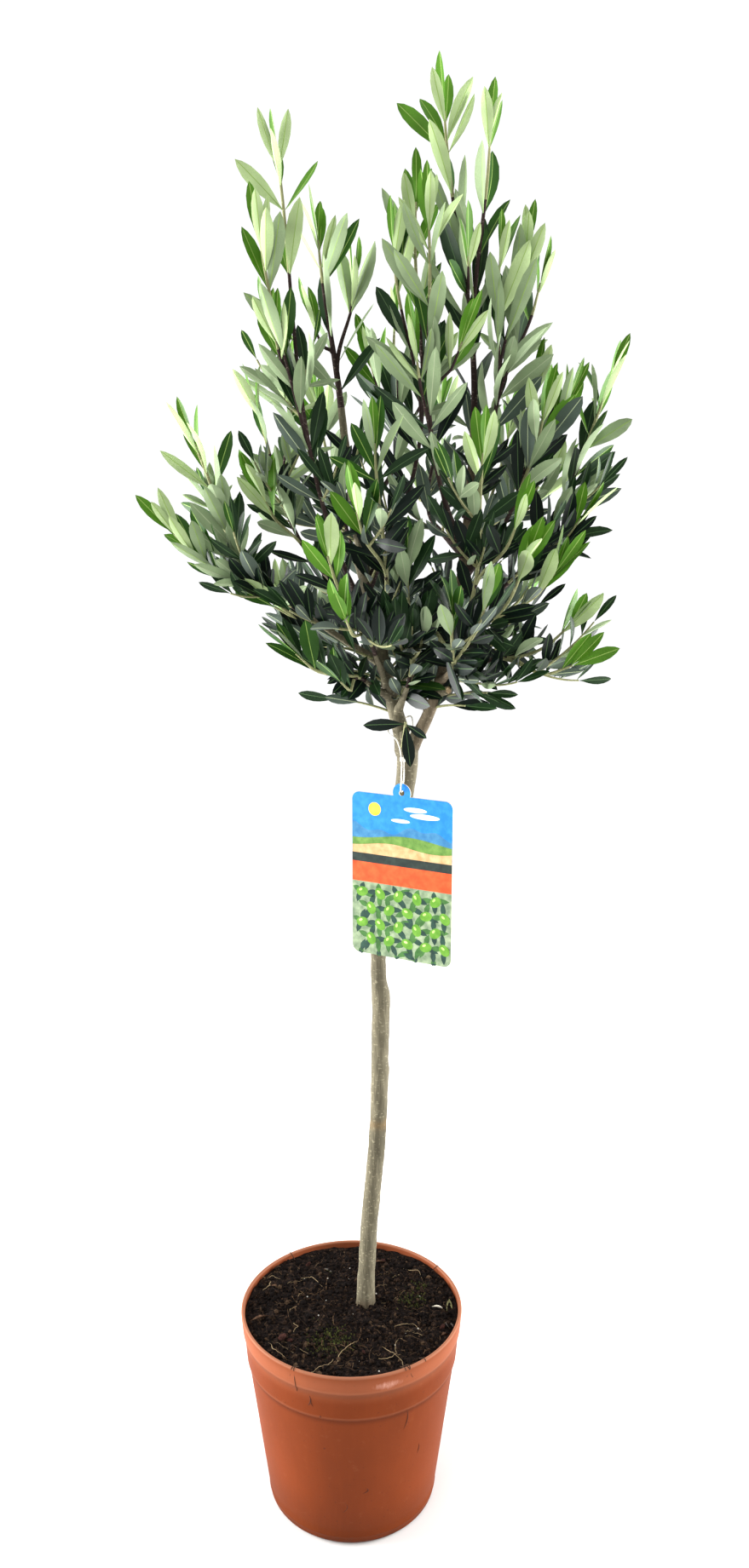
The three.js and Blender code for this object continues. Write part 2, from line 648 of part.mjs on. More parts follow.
// A little sprig on the front of the fork, with one leaf to the left and one that hangs
function forkSprig() {
  const bend = new THREE.Vector3(SPRIG_FOOT.x, SPRIG_NODE.y, SPRIG_FOOT.z + 2);
  const path = new THREE.QuadraticBezierCurve3(SPRIG_FOOT, bend, SPRIG_NODE);
  const stem = solidOf(limbGeometry(path, (share) => TWIG_RADIUS * (1 - 0.15 * share), STEM_SIDES, 3));
  const left = new THREE.Vector3(-1, -0.2, 0.02).normalize();
  const hanging = new THREE.Vector3(0.12, -0.25, -1).normalize();
  const root = path.getPointAt(0.95);
  const leaves = [left, hanging].map((heading) =>
    leafSolid(leafCorners(root, heading, FRONT, 0.3, SPRIG_LEAF_LENGTH, SPRIG_LEAF_WIDTH)),
  );
  return leaves.reduce((whole, leaf) => whole.add(leaf), stem);
}

// Hang card: a plate with round corners, a tab at the top and an eye through it
function hangCard() {
  const half = CARD_WIDTH / 2;
  const top = -CARD_SHOULDER;
  const bottom = top - CARD_HEIGHT;
  const r = CARD_CORNER;
  const outline = new THREE.Shape();
  outline.moveTo(-half, top - r);
  outline.lineTo(-half, bottom + r);
  outline.absarc(-half + r, bottom + r, r, Math.PI, 1.5 * Math.PI, false);
  outline.absarc(half - r, bottom + r, r, 1.5 * Math.PI, 2 * Math.PI, false);
  outline.absarc(half - r, top - r, r, 0, 0.5 * Math.PI, false);
  const dip = Math.asin(CARD_SHOULDER / CARD_TAB_RADIUS);
  outline.absarc(0, 0, CARD_TAB_RADIUS, -dip, Math.PI + dip, false);
  outline.absarc(-half + r, top - r, r, 0.5 * Math.PI, Math.PI, false);
  const eye = new THREE.Path().absarc(0, 0, CARD_EYE_RADIUS, 0, 2 * Math.PI, true);
  outline.holes.push(eye);
  const plate = { depth: CARD_THICKNESS, bevelEnabled: false, curveSegments: 4 };
  return new THREE.ExtrudeGeometry(outline, plate).translate(0, 0, -CARD_THICKNESS / 2);
}

// String: one loop through the card's eye and round the foot of the left bough
function cardString() {
  const eyeTop = CARD_EYE.z + CARD_EYE_RADIUS - STRING_RADIUS - 1.5 * GAP;
  const route = [
    [CARD_EYE.x - 0.9, CARD_EYE.y - 2.2, eyeTop + 0.4],
    [CARD_EYE.x, CARD_EYE.y, eyeTop],
    [CARD_EYE.x + 0.9, CARD_EYE.y + 2.2, eyeTop + 0.4],
    [CARD_EYE.x + 1.2, CARD_EYE.y + 1.9, CARD_EYE.z + CARD_TAB_RADIUS],
    [47, -5.8, 715],
    [46.9, -2.9, 730],
    [49.2, -2.6, 746],
    [54, 0.5, 756],
    [53.5, 8, 764],
    [49, 16.5, 762],
    [41, 19.5, 757],
    [34, 13.5, 752],
    [34.5, 2.5, 750],
    [40.5, -3, 746],
    [44.9, -2.9, 730],
    [44.7, -7.2, 715],
    [CARD_EYE.x - 0.8, CARD_EYE.y - 1.9, CARD_EYE.z + CARD_TAB_RADIUS],
  ].map((place) => new THREE.Vector3(...place));
  const path = new THREE.CatmullRomCurve3(route, true, "centripetal");
  return new THREE.TubeGeometry(path, 32, STRING_RADIUS, 4, true);
}

// The tree, pot and card together
const tree = new THREE.Group();
function addPiece(name, geometry, material, parent = tree) {
  const piece = new THREE.Mesh(geometry, material);
  piece.name = name;
  parent.add(piece);
}

addPiece("pot", pot(), MATERIALS.terracotta);
addPiece("soil", soil(), MATERIALS.soil);

const limbs = { trunk: trunkLimb() };
for (const [name, spec] of Object.entries(LIMBS)) limbs[name] = boughLimb(spec, limbs);
for (const limb of Object.values(limbs)) addSpans(limb, 16);
addPiece("trunk", geometryOf(trunk(limbs.trunk)), MATERIALS.bark);
const grown = [grownLimb(limbs.trunk)];
for (const name of Object.keys(LIMBS)) {
  const limb = limbs[name];
  const bar = solidOf(limbGeometry(limb.path, limb.radiusAt, limb.sides, limb.rings));
  addPiece(name, geometryOf(coped(bar, grown)), MATERIALS.bark);
  grown.push(grownLimb(limb));
}

const shoots = {};
for (const [name, spec] of Object.entries(LIMBS)) {
  shoots[spec.shoot] = shootStems(spec, limbs[name]);
  for (const stem of shoots[spec.shoot]) addSpans(stem, 6);
}
const growths = Object.values(LIMBS).map(
  (spec, number) => new Growth(spec, number, shoots[spec.shoot], spaceOf(spec.shoot, shoots, limbs)),
);
for (const growth of growths) growth.neighbours = growths.filter((other) => other !== growth);
for (const growth of growths) growth.stems.forEach((stem, order) => growth.addTuft(stem, order));
for (const growth of growths) growth.stems.forEach((stem, order) => growth.dressStem(stem, order));
Object.values(LIMBS).forEach((spec, number) => {
  addPiece(spec.shoot + "_foliage", geometryOf(soundPiece(growths[number].body)), MATERIALS.foliage);
});
addPiece("fork_sprig_foliage", geometryOf(coped(forkSprig(), grown)), MATERIALS.foliage);

const hanger = new THREE.Group();
hanger.position.copy(CARD_EYE);
hanger.rotation.z = -THREE.MathUtils.degToRad(CARD_YAW);
tree.add(hanger);
addPiece("hang_card", hangCard(), MATERIALS.card, hanger);
hanger.children[0].rotation.x = Math.PI / 2;
addPiece("card_string", cardString(), MATERIALS.string);

export default tree;
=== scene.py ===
import math
from typing import NamedTuple

import bmesh
import bpy
import numpy as np
from bpy.props import FloatProperty, FloatVectorProperty, IntProperty, PointerProperty
from mathutils import Matrix, Vector, noise


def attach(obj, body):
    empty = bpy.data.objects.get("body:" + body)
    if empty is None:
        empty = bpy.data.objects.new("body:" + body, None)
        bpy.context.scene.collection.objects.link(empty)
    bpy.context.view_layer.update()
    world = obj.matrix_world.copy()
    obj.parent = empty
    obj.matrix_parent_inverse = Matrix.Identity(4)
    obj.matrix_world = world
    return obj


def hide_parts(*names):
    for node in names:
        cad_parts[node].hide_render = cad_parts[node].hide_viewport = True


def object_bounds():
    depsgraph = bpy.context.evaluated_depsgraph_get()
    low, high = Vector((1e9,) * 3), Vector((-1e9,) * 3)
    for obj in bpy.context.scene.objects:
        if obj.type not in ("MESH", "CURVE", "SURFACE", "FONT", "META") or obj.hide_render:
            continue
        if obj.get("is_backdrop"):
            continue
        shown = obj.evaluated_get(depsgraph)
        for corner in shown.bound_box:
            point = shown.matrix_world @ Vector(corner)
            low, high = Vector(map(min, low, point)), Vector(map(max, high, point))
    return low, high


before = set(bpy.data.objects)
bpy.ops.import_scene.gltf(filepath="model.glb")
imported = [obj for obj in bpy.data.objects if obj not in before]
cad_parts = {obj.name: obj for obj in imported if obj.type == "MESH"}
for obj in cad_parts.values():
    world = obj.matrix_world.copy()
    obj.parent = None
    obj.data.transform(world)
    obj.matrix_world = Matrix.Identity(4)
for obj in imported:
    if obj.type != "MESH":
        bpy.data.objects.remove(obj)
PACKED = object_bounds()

bl_info = {
    "name": "Potted Olive Tree",
    "version": (1, 0, 0),
    "blender": (4, 5, 0),
    "location": "3D View > Sidebar > Olive Tree",
    "description": "A young standard olive in its nursery pot, dressed round the packed model",
    "category": "Object",
}

# Lengths are in metres, +Z is up, and the origin is the middle of the pot's flat underside
MM = 0.001
UP = np.array([0.0, 0.0, 1.0])
FRONT = np.array([0.0, -1.0, 0.0])
LOWEST, HIGHEST = (np.array(corner) for corner in PACKED)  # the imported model's box
BOX_MARGIN = 0.003  # how far inside the box the middle of a leaf stays
FLOOR_RADIUS = 1.6
WORLD_LIGHT = 1.04
LAMPS = (  # name, place, what it looks at, size, power
    ("key", (-0.9, -1.9, 2.5), (0.02, 0, 0.8), 1.3, 8),
    ("left", (-2.1, 0.2, 0.55), (0.02, 0, 0.4), 1.5, 150),
    ("right", (2.1, 0.3, 0.55), (0.02, 0, 0.4), 1.5, 118),
)

# Camera, at the photograph's viewing angle
CAMERA_PLACE = (0.0218, -1.055, 0.9521)
CAMERA_DROP = 13.1  # how far it looks down, in degrees
CAMERA_LENS = 28.84  # millimetres
CAMERA_SENSOR = 36.0  # millimetres on the long side

# Pot: radii and heights of the wall's outside
POT_HEIGHT = 0.198
POT_BASE_RADIUS = 0.0805
POT_BASE_ROUND = 0.006
POT_WALL = 0.002
POT_FLOOR = 0.0025
COLLAR_HEIGHT = 0.1495
COLLAR_RADIUS = 0.0986
RIM_HEIGHT = 0.1785
RIM_RADIUS = 0.1048
STEP = 0.0013
LIP = 0.0034  # thickness of the rolled lip
DRAIN_HOLES = 6
DRAIN_RADIUS = 0.0045
DRAIN_CIRCLE = 0.062
POT_SIDES = 144
POT_UNDERSIDE = ((0.0, 0.0008), (0.046, 0.0008), (0.0475, 0.0))  # the hollow under it: radii and heights
FOOT_BEAD = ((0.0085, 0.0), (0.0092, 0.0004), (0.0104, 0.0004), (0.0111, 0.0))  # heights, and how far out
WALL_PART = slice(8, 44)  # of the pot's profile: its outside from the foot to the rim
SHARP_POT = 40  # edges past this angle in degrees stay sharp
# Painted shade under both steps, painted highlights over them and on the lip, a paler rim band, a darker foot
POT_BANDS = (  # height, spread, depth, colour
    (COLLAR_HEIGHT - 0.001, 0.0055, 0.34, "#2b1208"), (RIM_HEIGHT - 0.001, 0.0055, 0.4, "#2b1208"),
    (COLLAR_HEIGHT + 0.0026, 0.0018, 0.1, "#b87c5c"), (RIM_HEIGHT + 0.0026, 0.0018, 0.12, "#b87c5c"),
    (0.186, 0.021, 0.3, "#bb7353"), (0.0, 0.06, 0.24, "#2b1208"), (POT_HEIGHT, 0.0026, 0.55, "#a9765c"),
)
REFLECTION_PLACE = (0.0334, -0.0985, 0.1865)  # middle of a painted reflection on the rim
REFLECTION_REACH = (0.004, 0.026)  # it fades out between these distances
SPLASH_HEIGHT = 0.022  # how high the earth has splashed
SCRATCHES = (  # bearing in degrees, lowest and highest, drift in degrees, half width
    (-111.5, 0.162, 0.1735, 1.4, 0.0005), (-109, 0.162, 0.17, -1.0, 0.0004),
    (-105.6, 0.1515, 0.154, 0.4, 0.0006), (-82.5, 0.063, 0.069, 3.0, 0.00045),
    (-60, 0.128, 0.15, 2.0, 0.0004), (-48, 0.09, 0.101, 1.0, 0.0004), (-95, 0.04, 0.052, 3.0, 0.0003),
    (40, 0.12, 0.15, 1.5, 0.0004), (150, 0.06, 0.085, -2.0, 0.0004), (95, 0.152, 0.17, 1.2, 0.0004),
)

# Compost
COMPOST_HEIGHT = 0.1945
COMPOST_EDGE_HEIGHT = 0.1932
COMPOST_LEVEL_RADIUS = 0.048
COMPOST_RADIUS = 0.1015
COMPOST_RINGS = 64
COMPOST_SIDES = 160
COMPOST_MARGIN = 0.003  # loose pieces stay this far inside its edge
COMPOST_FOOT = (  # radii and heights of its buried outside, within the pot's wall
    (0.0, 0.004), (0.0735, 0.004), (0.0955, 0.148), (0.0965, 0.1505), (0.0995, 0.177), (0.1008, 0.1815),
    (COMPOST_RADIUS, 0.19), (COMPOST_RADIUS - 0.001, COMPOST_EDGE_HEIGHT),
)
HUMMOCKS = ((0.6, 0.021), (0.45, 0.008), (0.4, 0.0034))  # each kind's share of the relief, and its width
HUMMOCK_DROP = 0.0006
CRUMB_WIDTHS = (0.0005, 0.0017)  # the least, and how much wider the few largest are
CRUMB_LIFT = 0.35
CRUMB_SHAPES = (0.55, 1.5)
CRUMB_KINDS = (0.66, 0.27, 0.0665, 0.0035)  # shares of dark, brown and dry crumbs, and of perlite
PERLITE_SIZE = 0.0008
CRUMB_GRAIN = 0.0015
FIBRE_LENGTHS = (0.006, 0.03)  # the least, and how much longer the few longest are
FIBRE_BEND = 1.1  # spread of how far a fibre curls, in radians
FIBRE_LIFTS = (0.0005, 0.0026)  # how far it stands off the compost, everywhere and at most in its middle
FIBRE_RADII = (0.00012, 0.00034)
FIBRE_KINDS = (0.06, 0.36, 0.58)  # shares of pale, brown and dark ones
LONG_FIBRE_RADIUS = 0.00032
RIM_ROOT_RADII = (0.00045, 0.0002)
RIM_ROOT_TOP = 0.195  # where it leaves the lip for the wall
RIM_ROOT_GAPS = (0.0003, 0.0002)  # between it and the lip, and the wall
TRUNK_ROOM = 0.0125  # fibres keep this far from the trunk's axis
MOSS_DENSITY = 20000  # tufts for each metre of a spot's spread
MOSS_SIZES = (0.0005, 0.0014)
MOSS_SHAPE = np.array([0.5, 0.5, 1.3])
MOSS_MARGIN = 0.004
MOSS_LIFT = 0.0003
CHUNK_SHAPE = np.array([1, 0.7, 0.5])
LITTER_LIFT = 0.0012
LITTER_SHAPE = (-0.7, 0.5, 0.6)  # curl, fold and twist of a fallen leaf
MOSS_SPOTS = ((0.058, 0.011, 0.013), (-0.019, -0.049, 0.02), (0.066, 0.034, 0.006))  # x, y, spread
LITTER = (  # x, y, bearing in degrees, length, width, rise, tone
    (-0.095, -0.022, 32, 0.025, 0.006, 0.16, 0.1), (0.094, 0.014, -95, 0.024, 0.007, 0.1, 0.7),
    (0.076, -0.004, -8, 0.011, 0.004, 0.3, 0.95), (0.088, -0.02, -60, 0.012, 0.009, 0.05, 0.4),
    (0.083, -0.04, 20, 0.008, 0.006, 0.2, 0.1), (-0.07, 0.03, 150, 0.013, 0.004, 0.1, 0.1),
    (0.02, 0.07, 15, 0.016, 0.004, 0.1, 0.1), (-0.03, 0.06, -30, 0.012, 0.004, 0.15, 0.4),
)
CHUNKS = (  # x, y, and size of the lumps of composted bark
    (-0.063, -0.045, 0.0062), (-0.056, -0.049, 0.0036), (0.085, -0.03, 0.0042), (0.03, 0.075, 0.004),
    (-0.045, 0.068, 0.0036), (0.012, -0.066, 0.003),
)
LONG_FIBRES = (  # ends of the long pale roots: x, y and x, y, and how far they bow sideways
    (0.0268, -0.0595, 0.0479, -0.0857, 0.004), (-0.0114, -0.0767, 0.0066, -0.0513, 0.003),
    (-0.0893, 0.0471, -0.0712, 0.0443, -0.002), (-0.0802, 0.0391, -0.0864, 0.0242, 0.002),
    (-0.0535, -0.0247, -0.0537, -0.0365, 0.003), (-0.035, -0.0903, -0.0145, -0.0744, -0.003),
    (0.026, -0.0756, 0.0452, -0.0676, -0.002), (0.05, 0.06, 0.07, 0.042, 0.004),
    (-0.06, -0.07, -0.075, -0.052, 0.003), (0.04, -0.03, 0.066, -0.036, 0.005),
    (-0.03, 0.03, -0.052, 0.046, -0.004),
)
RIM_ROOTS = (  # bearing in degrees, how far down the wall it hangs, drift in degrees
    (-118.5, 0.021, 1.0), (-119.3, 0.006, -1.5), (-60.5, 0.009, 3.0), (-59.0, 0.006, -2.0),
    (-50.0, 0.005, 0.5), (-62.0, 0.004, 1.0), (35.0, 0.008, 1.5), (128.0, 0.012, -1.5),
)

# Trunk: height, lean, depth, diameter
TRUNK_STATIONS = (
    (0.1945, 0.013, 0.0065, 0.016), (0.278, 0.017, 0.009, 0.0157), (0.367, 0.0246, 0.0115, 0.0155),
    (0.47, 0.0273, 0.0132, 0.016), (0.504, 0.0276, 0.0136, 0.0164), (0.53, 0.0252, 0.0132, 0.0132),
    (0.59, 0.028, 0.0124, 0.0146), (0.66, 0.041, 0.0104, 0.0165), (0.718, 0.05, 0.0086, 0.0178),
    (0.75, 0.0505, 0.008, 0.0194),
)
FLARE = 0.0012
FLARE_HEIGHT = 0.017
FLARE_LOBES = 5
LOBE_DEPTH = 0.0008
LOBE_HEIGHT = 0.012
TRUNK_CAP = 0.006  # height of its rounded end, inside the fork
KNOTS = (  # height, bearing in degrees, spread, how far it stands out
    (0.343, -122, 0.0055, 0.0011), (0.318, -130, 0.0042, 0.0008), (0.478, -115, 0.005, 0.0012),
    (0.432, 20, 0.005, 0.001), (0.604, -70, 0.005, 0.0012), (0.655, 150, 0.005, 0.001),
    (0.262, 95, 0.005, 0.0009), (0.556, 80, 0.0045, 0.001),
)
KNOT_DIMPLE = (0.55, 0.4)  # depth and width of the dimple in its middle, as shares of the knot's
KNOT_REACH = 0.0079  # how far a knot's middle is from the trunk's axis
SCAR_HEIGHT = 0.381  # an old rub that left a rust-coloured band
SCAR_SPREAD = 0.006
SCAR_DEPTH = 0.0005
SCAR_WANDER = (0.0016, 0.005)  # how far its edge strays, and over what length
SCAR_COLOUR = 0.75
SCAR_GRAIN = 0.004
EARTH_HEIGHT = 0.012  # how far up the trunk its foot is soiled
EARTH_WANDER = (0.008, 0.006)  # how far its edge strays, and over what length
EARTH_COLOUR = 0.8
STREAKS = (0.0035, 0.02)  # size of the bark's streaks, across and along the trunk
WRINKLES = (0.007, 0.0016)
LUMP_SIZE = 0.011
BARK_SHARES = (0.5, 0.75, 0.22)  # shares of streaks, lumps and wrinkles in the bark's relief
BRANCH_RELIEF = 0.6
BARK_PITCH = 0.0025  # rings of a limb's bark are this far apart
COLLAR = (0.5, 0.6, 0.008)  # swelling at a limb's foot: how much, from where in its parent, over what length
STUBS = (  # limb, share of its length, bearing in degrees, length, radius
    ("right_bough", 0.2, -55, 0.012, 0.0034), ("left_bough", 0.82, -120, 0.01, 0.003),
    ("left_bough", 0.3, 60, 0.009, 0.003), ("right_bough", 0.5, 120, 0.009, 0.0026),
)
STUB_RISE = (0.35, 0.5)  # how far a stub leans up, and along its limb


class Spec(NamedTuple):
    """A limb and the shoot that it carries. Places are a bearing in degrees, from the right towards the
    back, a reach from the crown's axis and a height."""

    on: str  # what it grows on
    at: float  # and at what share of that one's length
    end: tuple
    shoot: str
    twiggy: float  # share of each of the shoot's stems that bears side twigs
    tips: tuple
    bow: tuple = (0.6, 0.44)
    radius: float = 0  # of a main bough's foot


LIMBS = {
    "left_bough": Spec(
        "trunk", 0.97, (172, 0.056, 1.019), "centre_left", 0.35,
        ((178, 0.077, 1.186), (144, 0.048, 1.159), (-172, 0.092, 1.12)), bow=(0.66, 0.4), radius=0.007,
    ),
    "right_bough": Spec(
        "trunk", 0.975, (-18, 0.054, 1.009), "crown_top", 0.3,
        ((-38, 0.027, 1.274), (-35, 0.073, 1.251), (-59, 0.079, 1.16)), bow=(0.9, 0.22), radius=0.0054,
    ),
    "far_left_bough": Spec(
        "left_bough", 0.27, (-160, 0.134, 0.885), "far_left", 0.5,
        ((-163, 0.222, 0.949), (-166, 0.189, 1.026), (-164, 0.15, 0.88)), bow=(0.5, 0.46),
    ),
    "low_left_bough": Spec(
        "left_bough", 0.17, (-140, 0.062, 0.812), "low_left", 0.7,
        ((-148, 0.138, 0.852), (-130, 0.112, 0.824)),
    ),
    "tall_left_bough": Spec(
        "left_bough", 0.36, (-147, 0.086, 0.95), "tall_left", 0.3,
        ((-168, 0.109, 1.241), (-153, 0.135, 1.173), (-153, 0.129, 1.11)),
    ),
    "mid_left_bough": Spec(
        "left_bough", 0.42, (-176, 0.09, 0.909), "mid_left", 0.6,
        ((-175, 0.135, 1.057), (-163, 0.141, 0.986), (170, 0.098, 1.08)),
    ),
    "centre_bough": Spec(
        "left_bough", 0.5, (33, 0.015, 0.991), "top_left", 0.35,
        ((-60, 0.01, 1.212), (-116, 0.041, 1.172)),
    ),
    "upper_front_bough": Spec(
        "right_bough", 0.62, (-72, 0.052, 0.985), "upper_front", 0.45,
        ((-80, 0.058, 1.19), (-92, 0.066, 1.095), (-52, 0.084, 1.1)),
    ),
    "upper_back_bough": Spec(
        "left_bough", 0.68, (96, 0.042, 0.985), "upper_back", 0.5,
        ((100, 0.058, 1.13), (62, 0.074, 1.095), (128, 0.07, 1.098)),
    ),
    "upper_right_bough": Spec(
        "right_bough", 0.72, (-17, 0.075, 1.026), "upper_right", 0.4,
        ((-22, 0.075, 1.168), (-4, 0.112, 1.151), (-5, 0.097, 1.174)),
    ),
    "mid_right_bough": Spec(
        "right_bough", 0.55, (-17, 0.094, 0.95), "mid_right", 0.6,
        ((-4, 0.108, 1.074), (-20, 0.121, 1.052), (-7, 0.142, 1.062)),
    ),
    "far_right_bough": Spec(
        "right_bough", 0.42, (-1, 0.092, 0.886), "far_right", 0.5,
        ((1, 0.178, 1.078), (-10, 0.163, 0.964)),
    ),
    "low_right_bough": Spec(
        "right_bough", 0.3, (-42, 0.093, 0.864), "low_right", 0.7,
        ((-30, 0.156, 0.922), (-49, 0.149, 0.938)),
    ),
    "lowest_right_bough": Spec(
        "right_bough", 0.2, (-22, 0.096, 0.83), "lowest_right", 0.7,
        ((-20, 0.178, 0.83), (-13, 0.164, 0.874), (-32, 0.091, 0.802)), bow=(0.55, 0.62),
    ),
    "front_bough": Spec(
        "right_bough", 0.24, (-65, 0.085, 0.821), "front", 0.6,
        ((-78, 0.14, 0.895), (-66, 0.155, 0.905), (-61, 0.088, 0.79)),
    ),
    "front_centre_bough": Spec(
        "left_bough", 0.32, (-103, 0.074, 0.893), "front_centre", 0.6,
        ((-105, 0.116, 1.025), (-110, 0.146, 0.971)),
    ),
    "front_left_bough": Spec(
        "left_bough", 0.19, (-117, 0.075, 0.849), "front_left", 0.7,
        ((-117, 0.159, 0.939), (-111, 0.162, 0.885)),
    ),
    "front_right_bough": Spec(
        "right_bough", 0.36, (-52, 0.085, 0.879), "front_right", 0.6,
        ((-62, 0.116, 1.019), (-55, 0.156, 0.965)),
    ),
    "inner_front_bough": Spec(
        "left_bough", 0.12, (-84, 0.034, 0.812), "inner_front", 0.7,
        ((-92, 0.083, 0.938), (-82, 0.104, 0.881), (-100, 0.112, 0.872)),
    ),
    "inner_back_bough": Spec(
        "right_bough", 0.14, (96, 0.034, 0.815), "inner_back", 0.7,
        ((100, 0.06, 0.925), (104, 0.092, 0.892)),
    ),
    "low_back_right_bough": Spec(
        "right_bough", 0.27, (38, 0.07, 0.835), "low_back_right", 0.7,
        ((32, 0.16, 0.905), (48, 0.15, 0.86)),
    ),
    "back_right_bough": Spec(
        "right_bough", 0.46, (42, 0.08, 0.915), "back_right", 0.6,
        ((40, 0.128, 1.042), (22, 0.16, 0.99)),
    ),
    "low_back_bough": Spec(
        "left_bough", 0.16, (82, 0.068, 0.812), "low_back", 0.7,
        ((76, 0.15, 0.88), (98, 0.152, 0.85)),
    ),
    "back_bough": Spec(
        "right_bough", 0.62, (81, 0.069, 0.943), "back", 0.6,
        ((72, 0.105, 1.066), (88, 0.146, 0.985)),
    ),
    "low_back_left_bough": Spec(
        "left_bough", 0.22, (136, 0.072, 0.832), "low_back_left", 0.7,
        ((150, 0.162, 0.895), (128, 0.152, 0.862)),
    ),
    "back_left_bough": Spec(
        "left_bough", 0.46, (128, 0.084, 0.92), "back_left", 0.6,
        ((134, 0.122, 1.062), (152, 0.15, 0.985)),
    ),
}

# Growth, as in the source
CROWN_AXIS = np.array([0.05, 0.008])
MAIN_TIP_RADIUS = 0.0028
BRANCH_FOOT_RADIUS = 0.0035
BRANCH_TIP_RADIUS = 0.0018
BRANCH_WOOD = 0.62  # share of a bough's curve that is wood; its shoot's stems go on from there
UPTURN = 0.28  # how far stems turn upwards at their ends
STEM_LEAD = (0.38, 0.3)  # how far a stem's curve keeps the headings of its foot and its end
SIDE_STEM = 0.85  # a side stem's radius, as a share of the main one's
STEM_END_RADIUS = 0.0012
END_LEAF_LENGTH = 0.058
FIRST_FORK = 0.22  # shares of the main stem where side stems leave it
NEXT_FORK = 0.2
LIMB_SPACE = 0.0012  # least distance from a leaf to bark
SHOOT_ROOM = 0.062  # furthest that a leaf reaches from its own shoot
OVERREACH = 0.005  # and past the shoot's own tips
HANG = 0.02  # how far a leaf may hang below its own shoot
TRIES = 6
TRY_TURN = 0.7  # how far, in radians, each next try is turned on
TWIG_ANGLE = 52
TWIG_RISE = 0.6
LEAN_AXIS = (0.6, 0.8)  # turns round a stem are counted from outwards and downwards

# Finer growth than the solids have
LEADER_REACH = 0.04  # how far short of its tip a stem's leader ends
LEADER_RADIUS = 0.0007
TWIG_LENGTHS = (0.034, 0.07)
TWIG_RADIUS = 0.0012
TWIG_NODE_PITCH = 0.0135
TWIG_END = 0.012  # bare length before a twig's tuft
TWIG_TAPER = 0.2  # how much smaller the leaves get along a twig
TWIG_TONE = 0.12  # how much fresher a twig's end is than its foot
TWIG_TIP = 0.034  # room that a twig's tuft needs
TUFT_LENGTH = 0.032
TUFT_PAIRS = ((0.002, 8, 0.9), (0.01, 17, 1.08), (0.023, 27, 1.2))  # distance from the end, lean, size
TUFT_END_SIZE = 0.96
TUFT_LOWEST = 0.3  # share of a twig that its tuft leaves free
TUFT_TONE = 0.1
TUFT_FADE = 0.06
TUFT_SKIPS = 0.4  # share of tufts without their third pair
STEM_PITCH = 0.006  # rings of a stem's bark are this far apart
STEM_FOOT = 0.012  # bare length at a stem's foot
STEM_END = 0.024  # and before its tuft
STEM_SPIN = 0.6  # how far the pairs of one stem are turned against another's
RIPE_SHARE = 0.7  # share of a ripe stem that is dark
YOUNG_RIPE_SHARE = 0.1  # and of the others
TWIG_SIDEWAYS = 0.7  # weight of reach, against height, for how few twigs there are
END_SHRINK = 0.18  # how much smaller leaves get over the end of a stem
SHRINK_START, SHRINK_SPAN = 0.55, 0.45  # and where that end starts, and its share
SPIRAL = 2.4  # turn between the spurs of a limb, in radians
LEAF_ANGLES = ((32, 70), (18, 50))  # low in the crown, and on its tall shoots
LEAF_SIZES = (0.62, 1.0)  # low in the crown, and on its tall shoots
WIDENINGS = (1.3, 1.0)  # how much broader a leaf is for its length
NODE_PITCHES = (0.0175, 0.034)
TWIG_CHANCES = (0.32, 0.08)
CROWN_HEIGHTS = (0.84, 1.06)  # between these the low crown turns into tall shoots
OUTER_REACHES = (0.11, 0.2)  # and between these its outer shoots grow stronger
FACING = 0.85  # how far a leaf turns its face outwards
FRONTAGE = 0.15  # less of the crown's width than of its depth counts as outwards
FACE_LINE = 0.034  # behind it leaves face the back, and before it the front
LEAF_SWAY = 58
LEAF_RISE = 0.95  # how far the leaves of a leaning stem turn upwards
OUTER_RISE = 0.8  # and how much further those of the outer shoots do
UNDER_ROLLS = (1.9, 1.05)  # past these rolls, in radians, a leaf shows its underside outwards
LEAF_STATIONS = (  # along the leaf, and its half width there as a share of the widest
    (0.05, 0.1), (0.13, 0.24), (0.27, 0.6), (0.43, 0.89), (0.59, 1.0), (0.77, 0.87), (0.91, 0.48),
)
LEAF_LENGTH_RANGE = (0.86, 1.12)
LEAF_WIDTH_RANGE = (0.8, 1.12)
RIB_PROBES = np.array([0.3, 0.5, 0.7, 0.88, 1.0])[:, None]  # shares of a leaf that are tested for room
LEAF_THICKNESS = 0.0005
MIDRIB_WIDTH = 0.0006
LEAF_FOLDS = (0.1, 0.42)
LEAF_CURLS = (-0.5, 0.35)
LEAF_TWIST = 0.35
END_CURL = 0.4  # the leaf that ends a stem is straighter
MINGLE = 0.012  # how far a shoot's leaves may reach in among another's
LEAF_SPACE = 0.0042  # least distance between the middles of two leaves
LEAST_CURL = 0.02  # a blade's own formula divides by its curl
SHARP_FOLD = 62
TONE_SPREAD = 0.3
SPUR_PITCH = 0.0145
BARE_LIMB = 0.34  # share of a limb that carries no twigs
OUTER_PITCH = 0.66  # pairs of leaves stand closer on the outer shoots
FORK_TWIGS = (("left_bough", 0.12, 0.3, 7), ("right_bough", 0.15, 0.34, 7))  # limb, shares, how many
FORK_FLOOR = 0.776  # how low their leaves may hang
FORK_TONE = 0.24
# A yellowing leaf on the left bough: share of its length, side, heading, size and tone
LONE_LEAF = (0.22, (0.6, -0.8, 0), (1, -1, 0.03), 0.95, 0.8)
OUTER_VIGOUR = 0.8
FRESH_HEIGHT, FRESH_SPAN = 0.84, 0.26  # leaves get fresher from this height, over this span
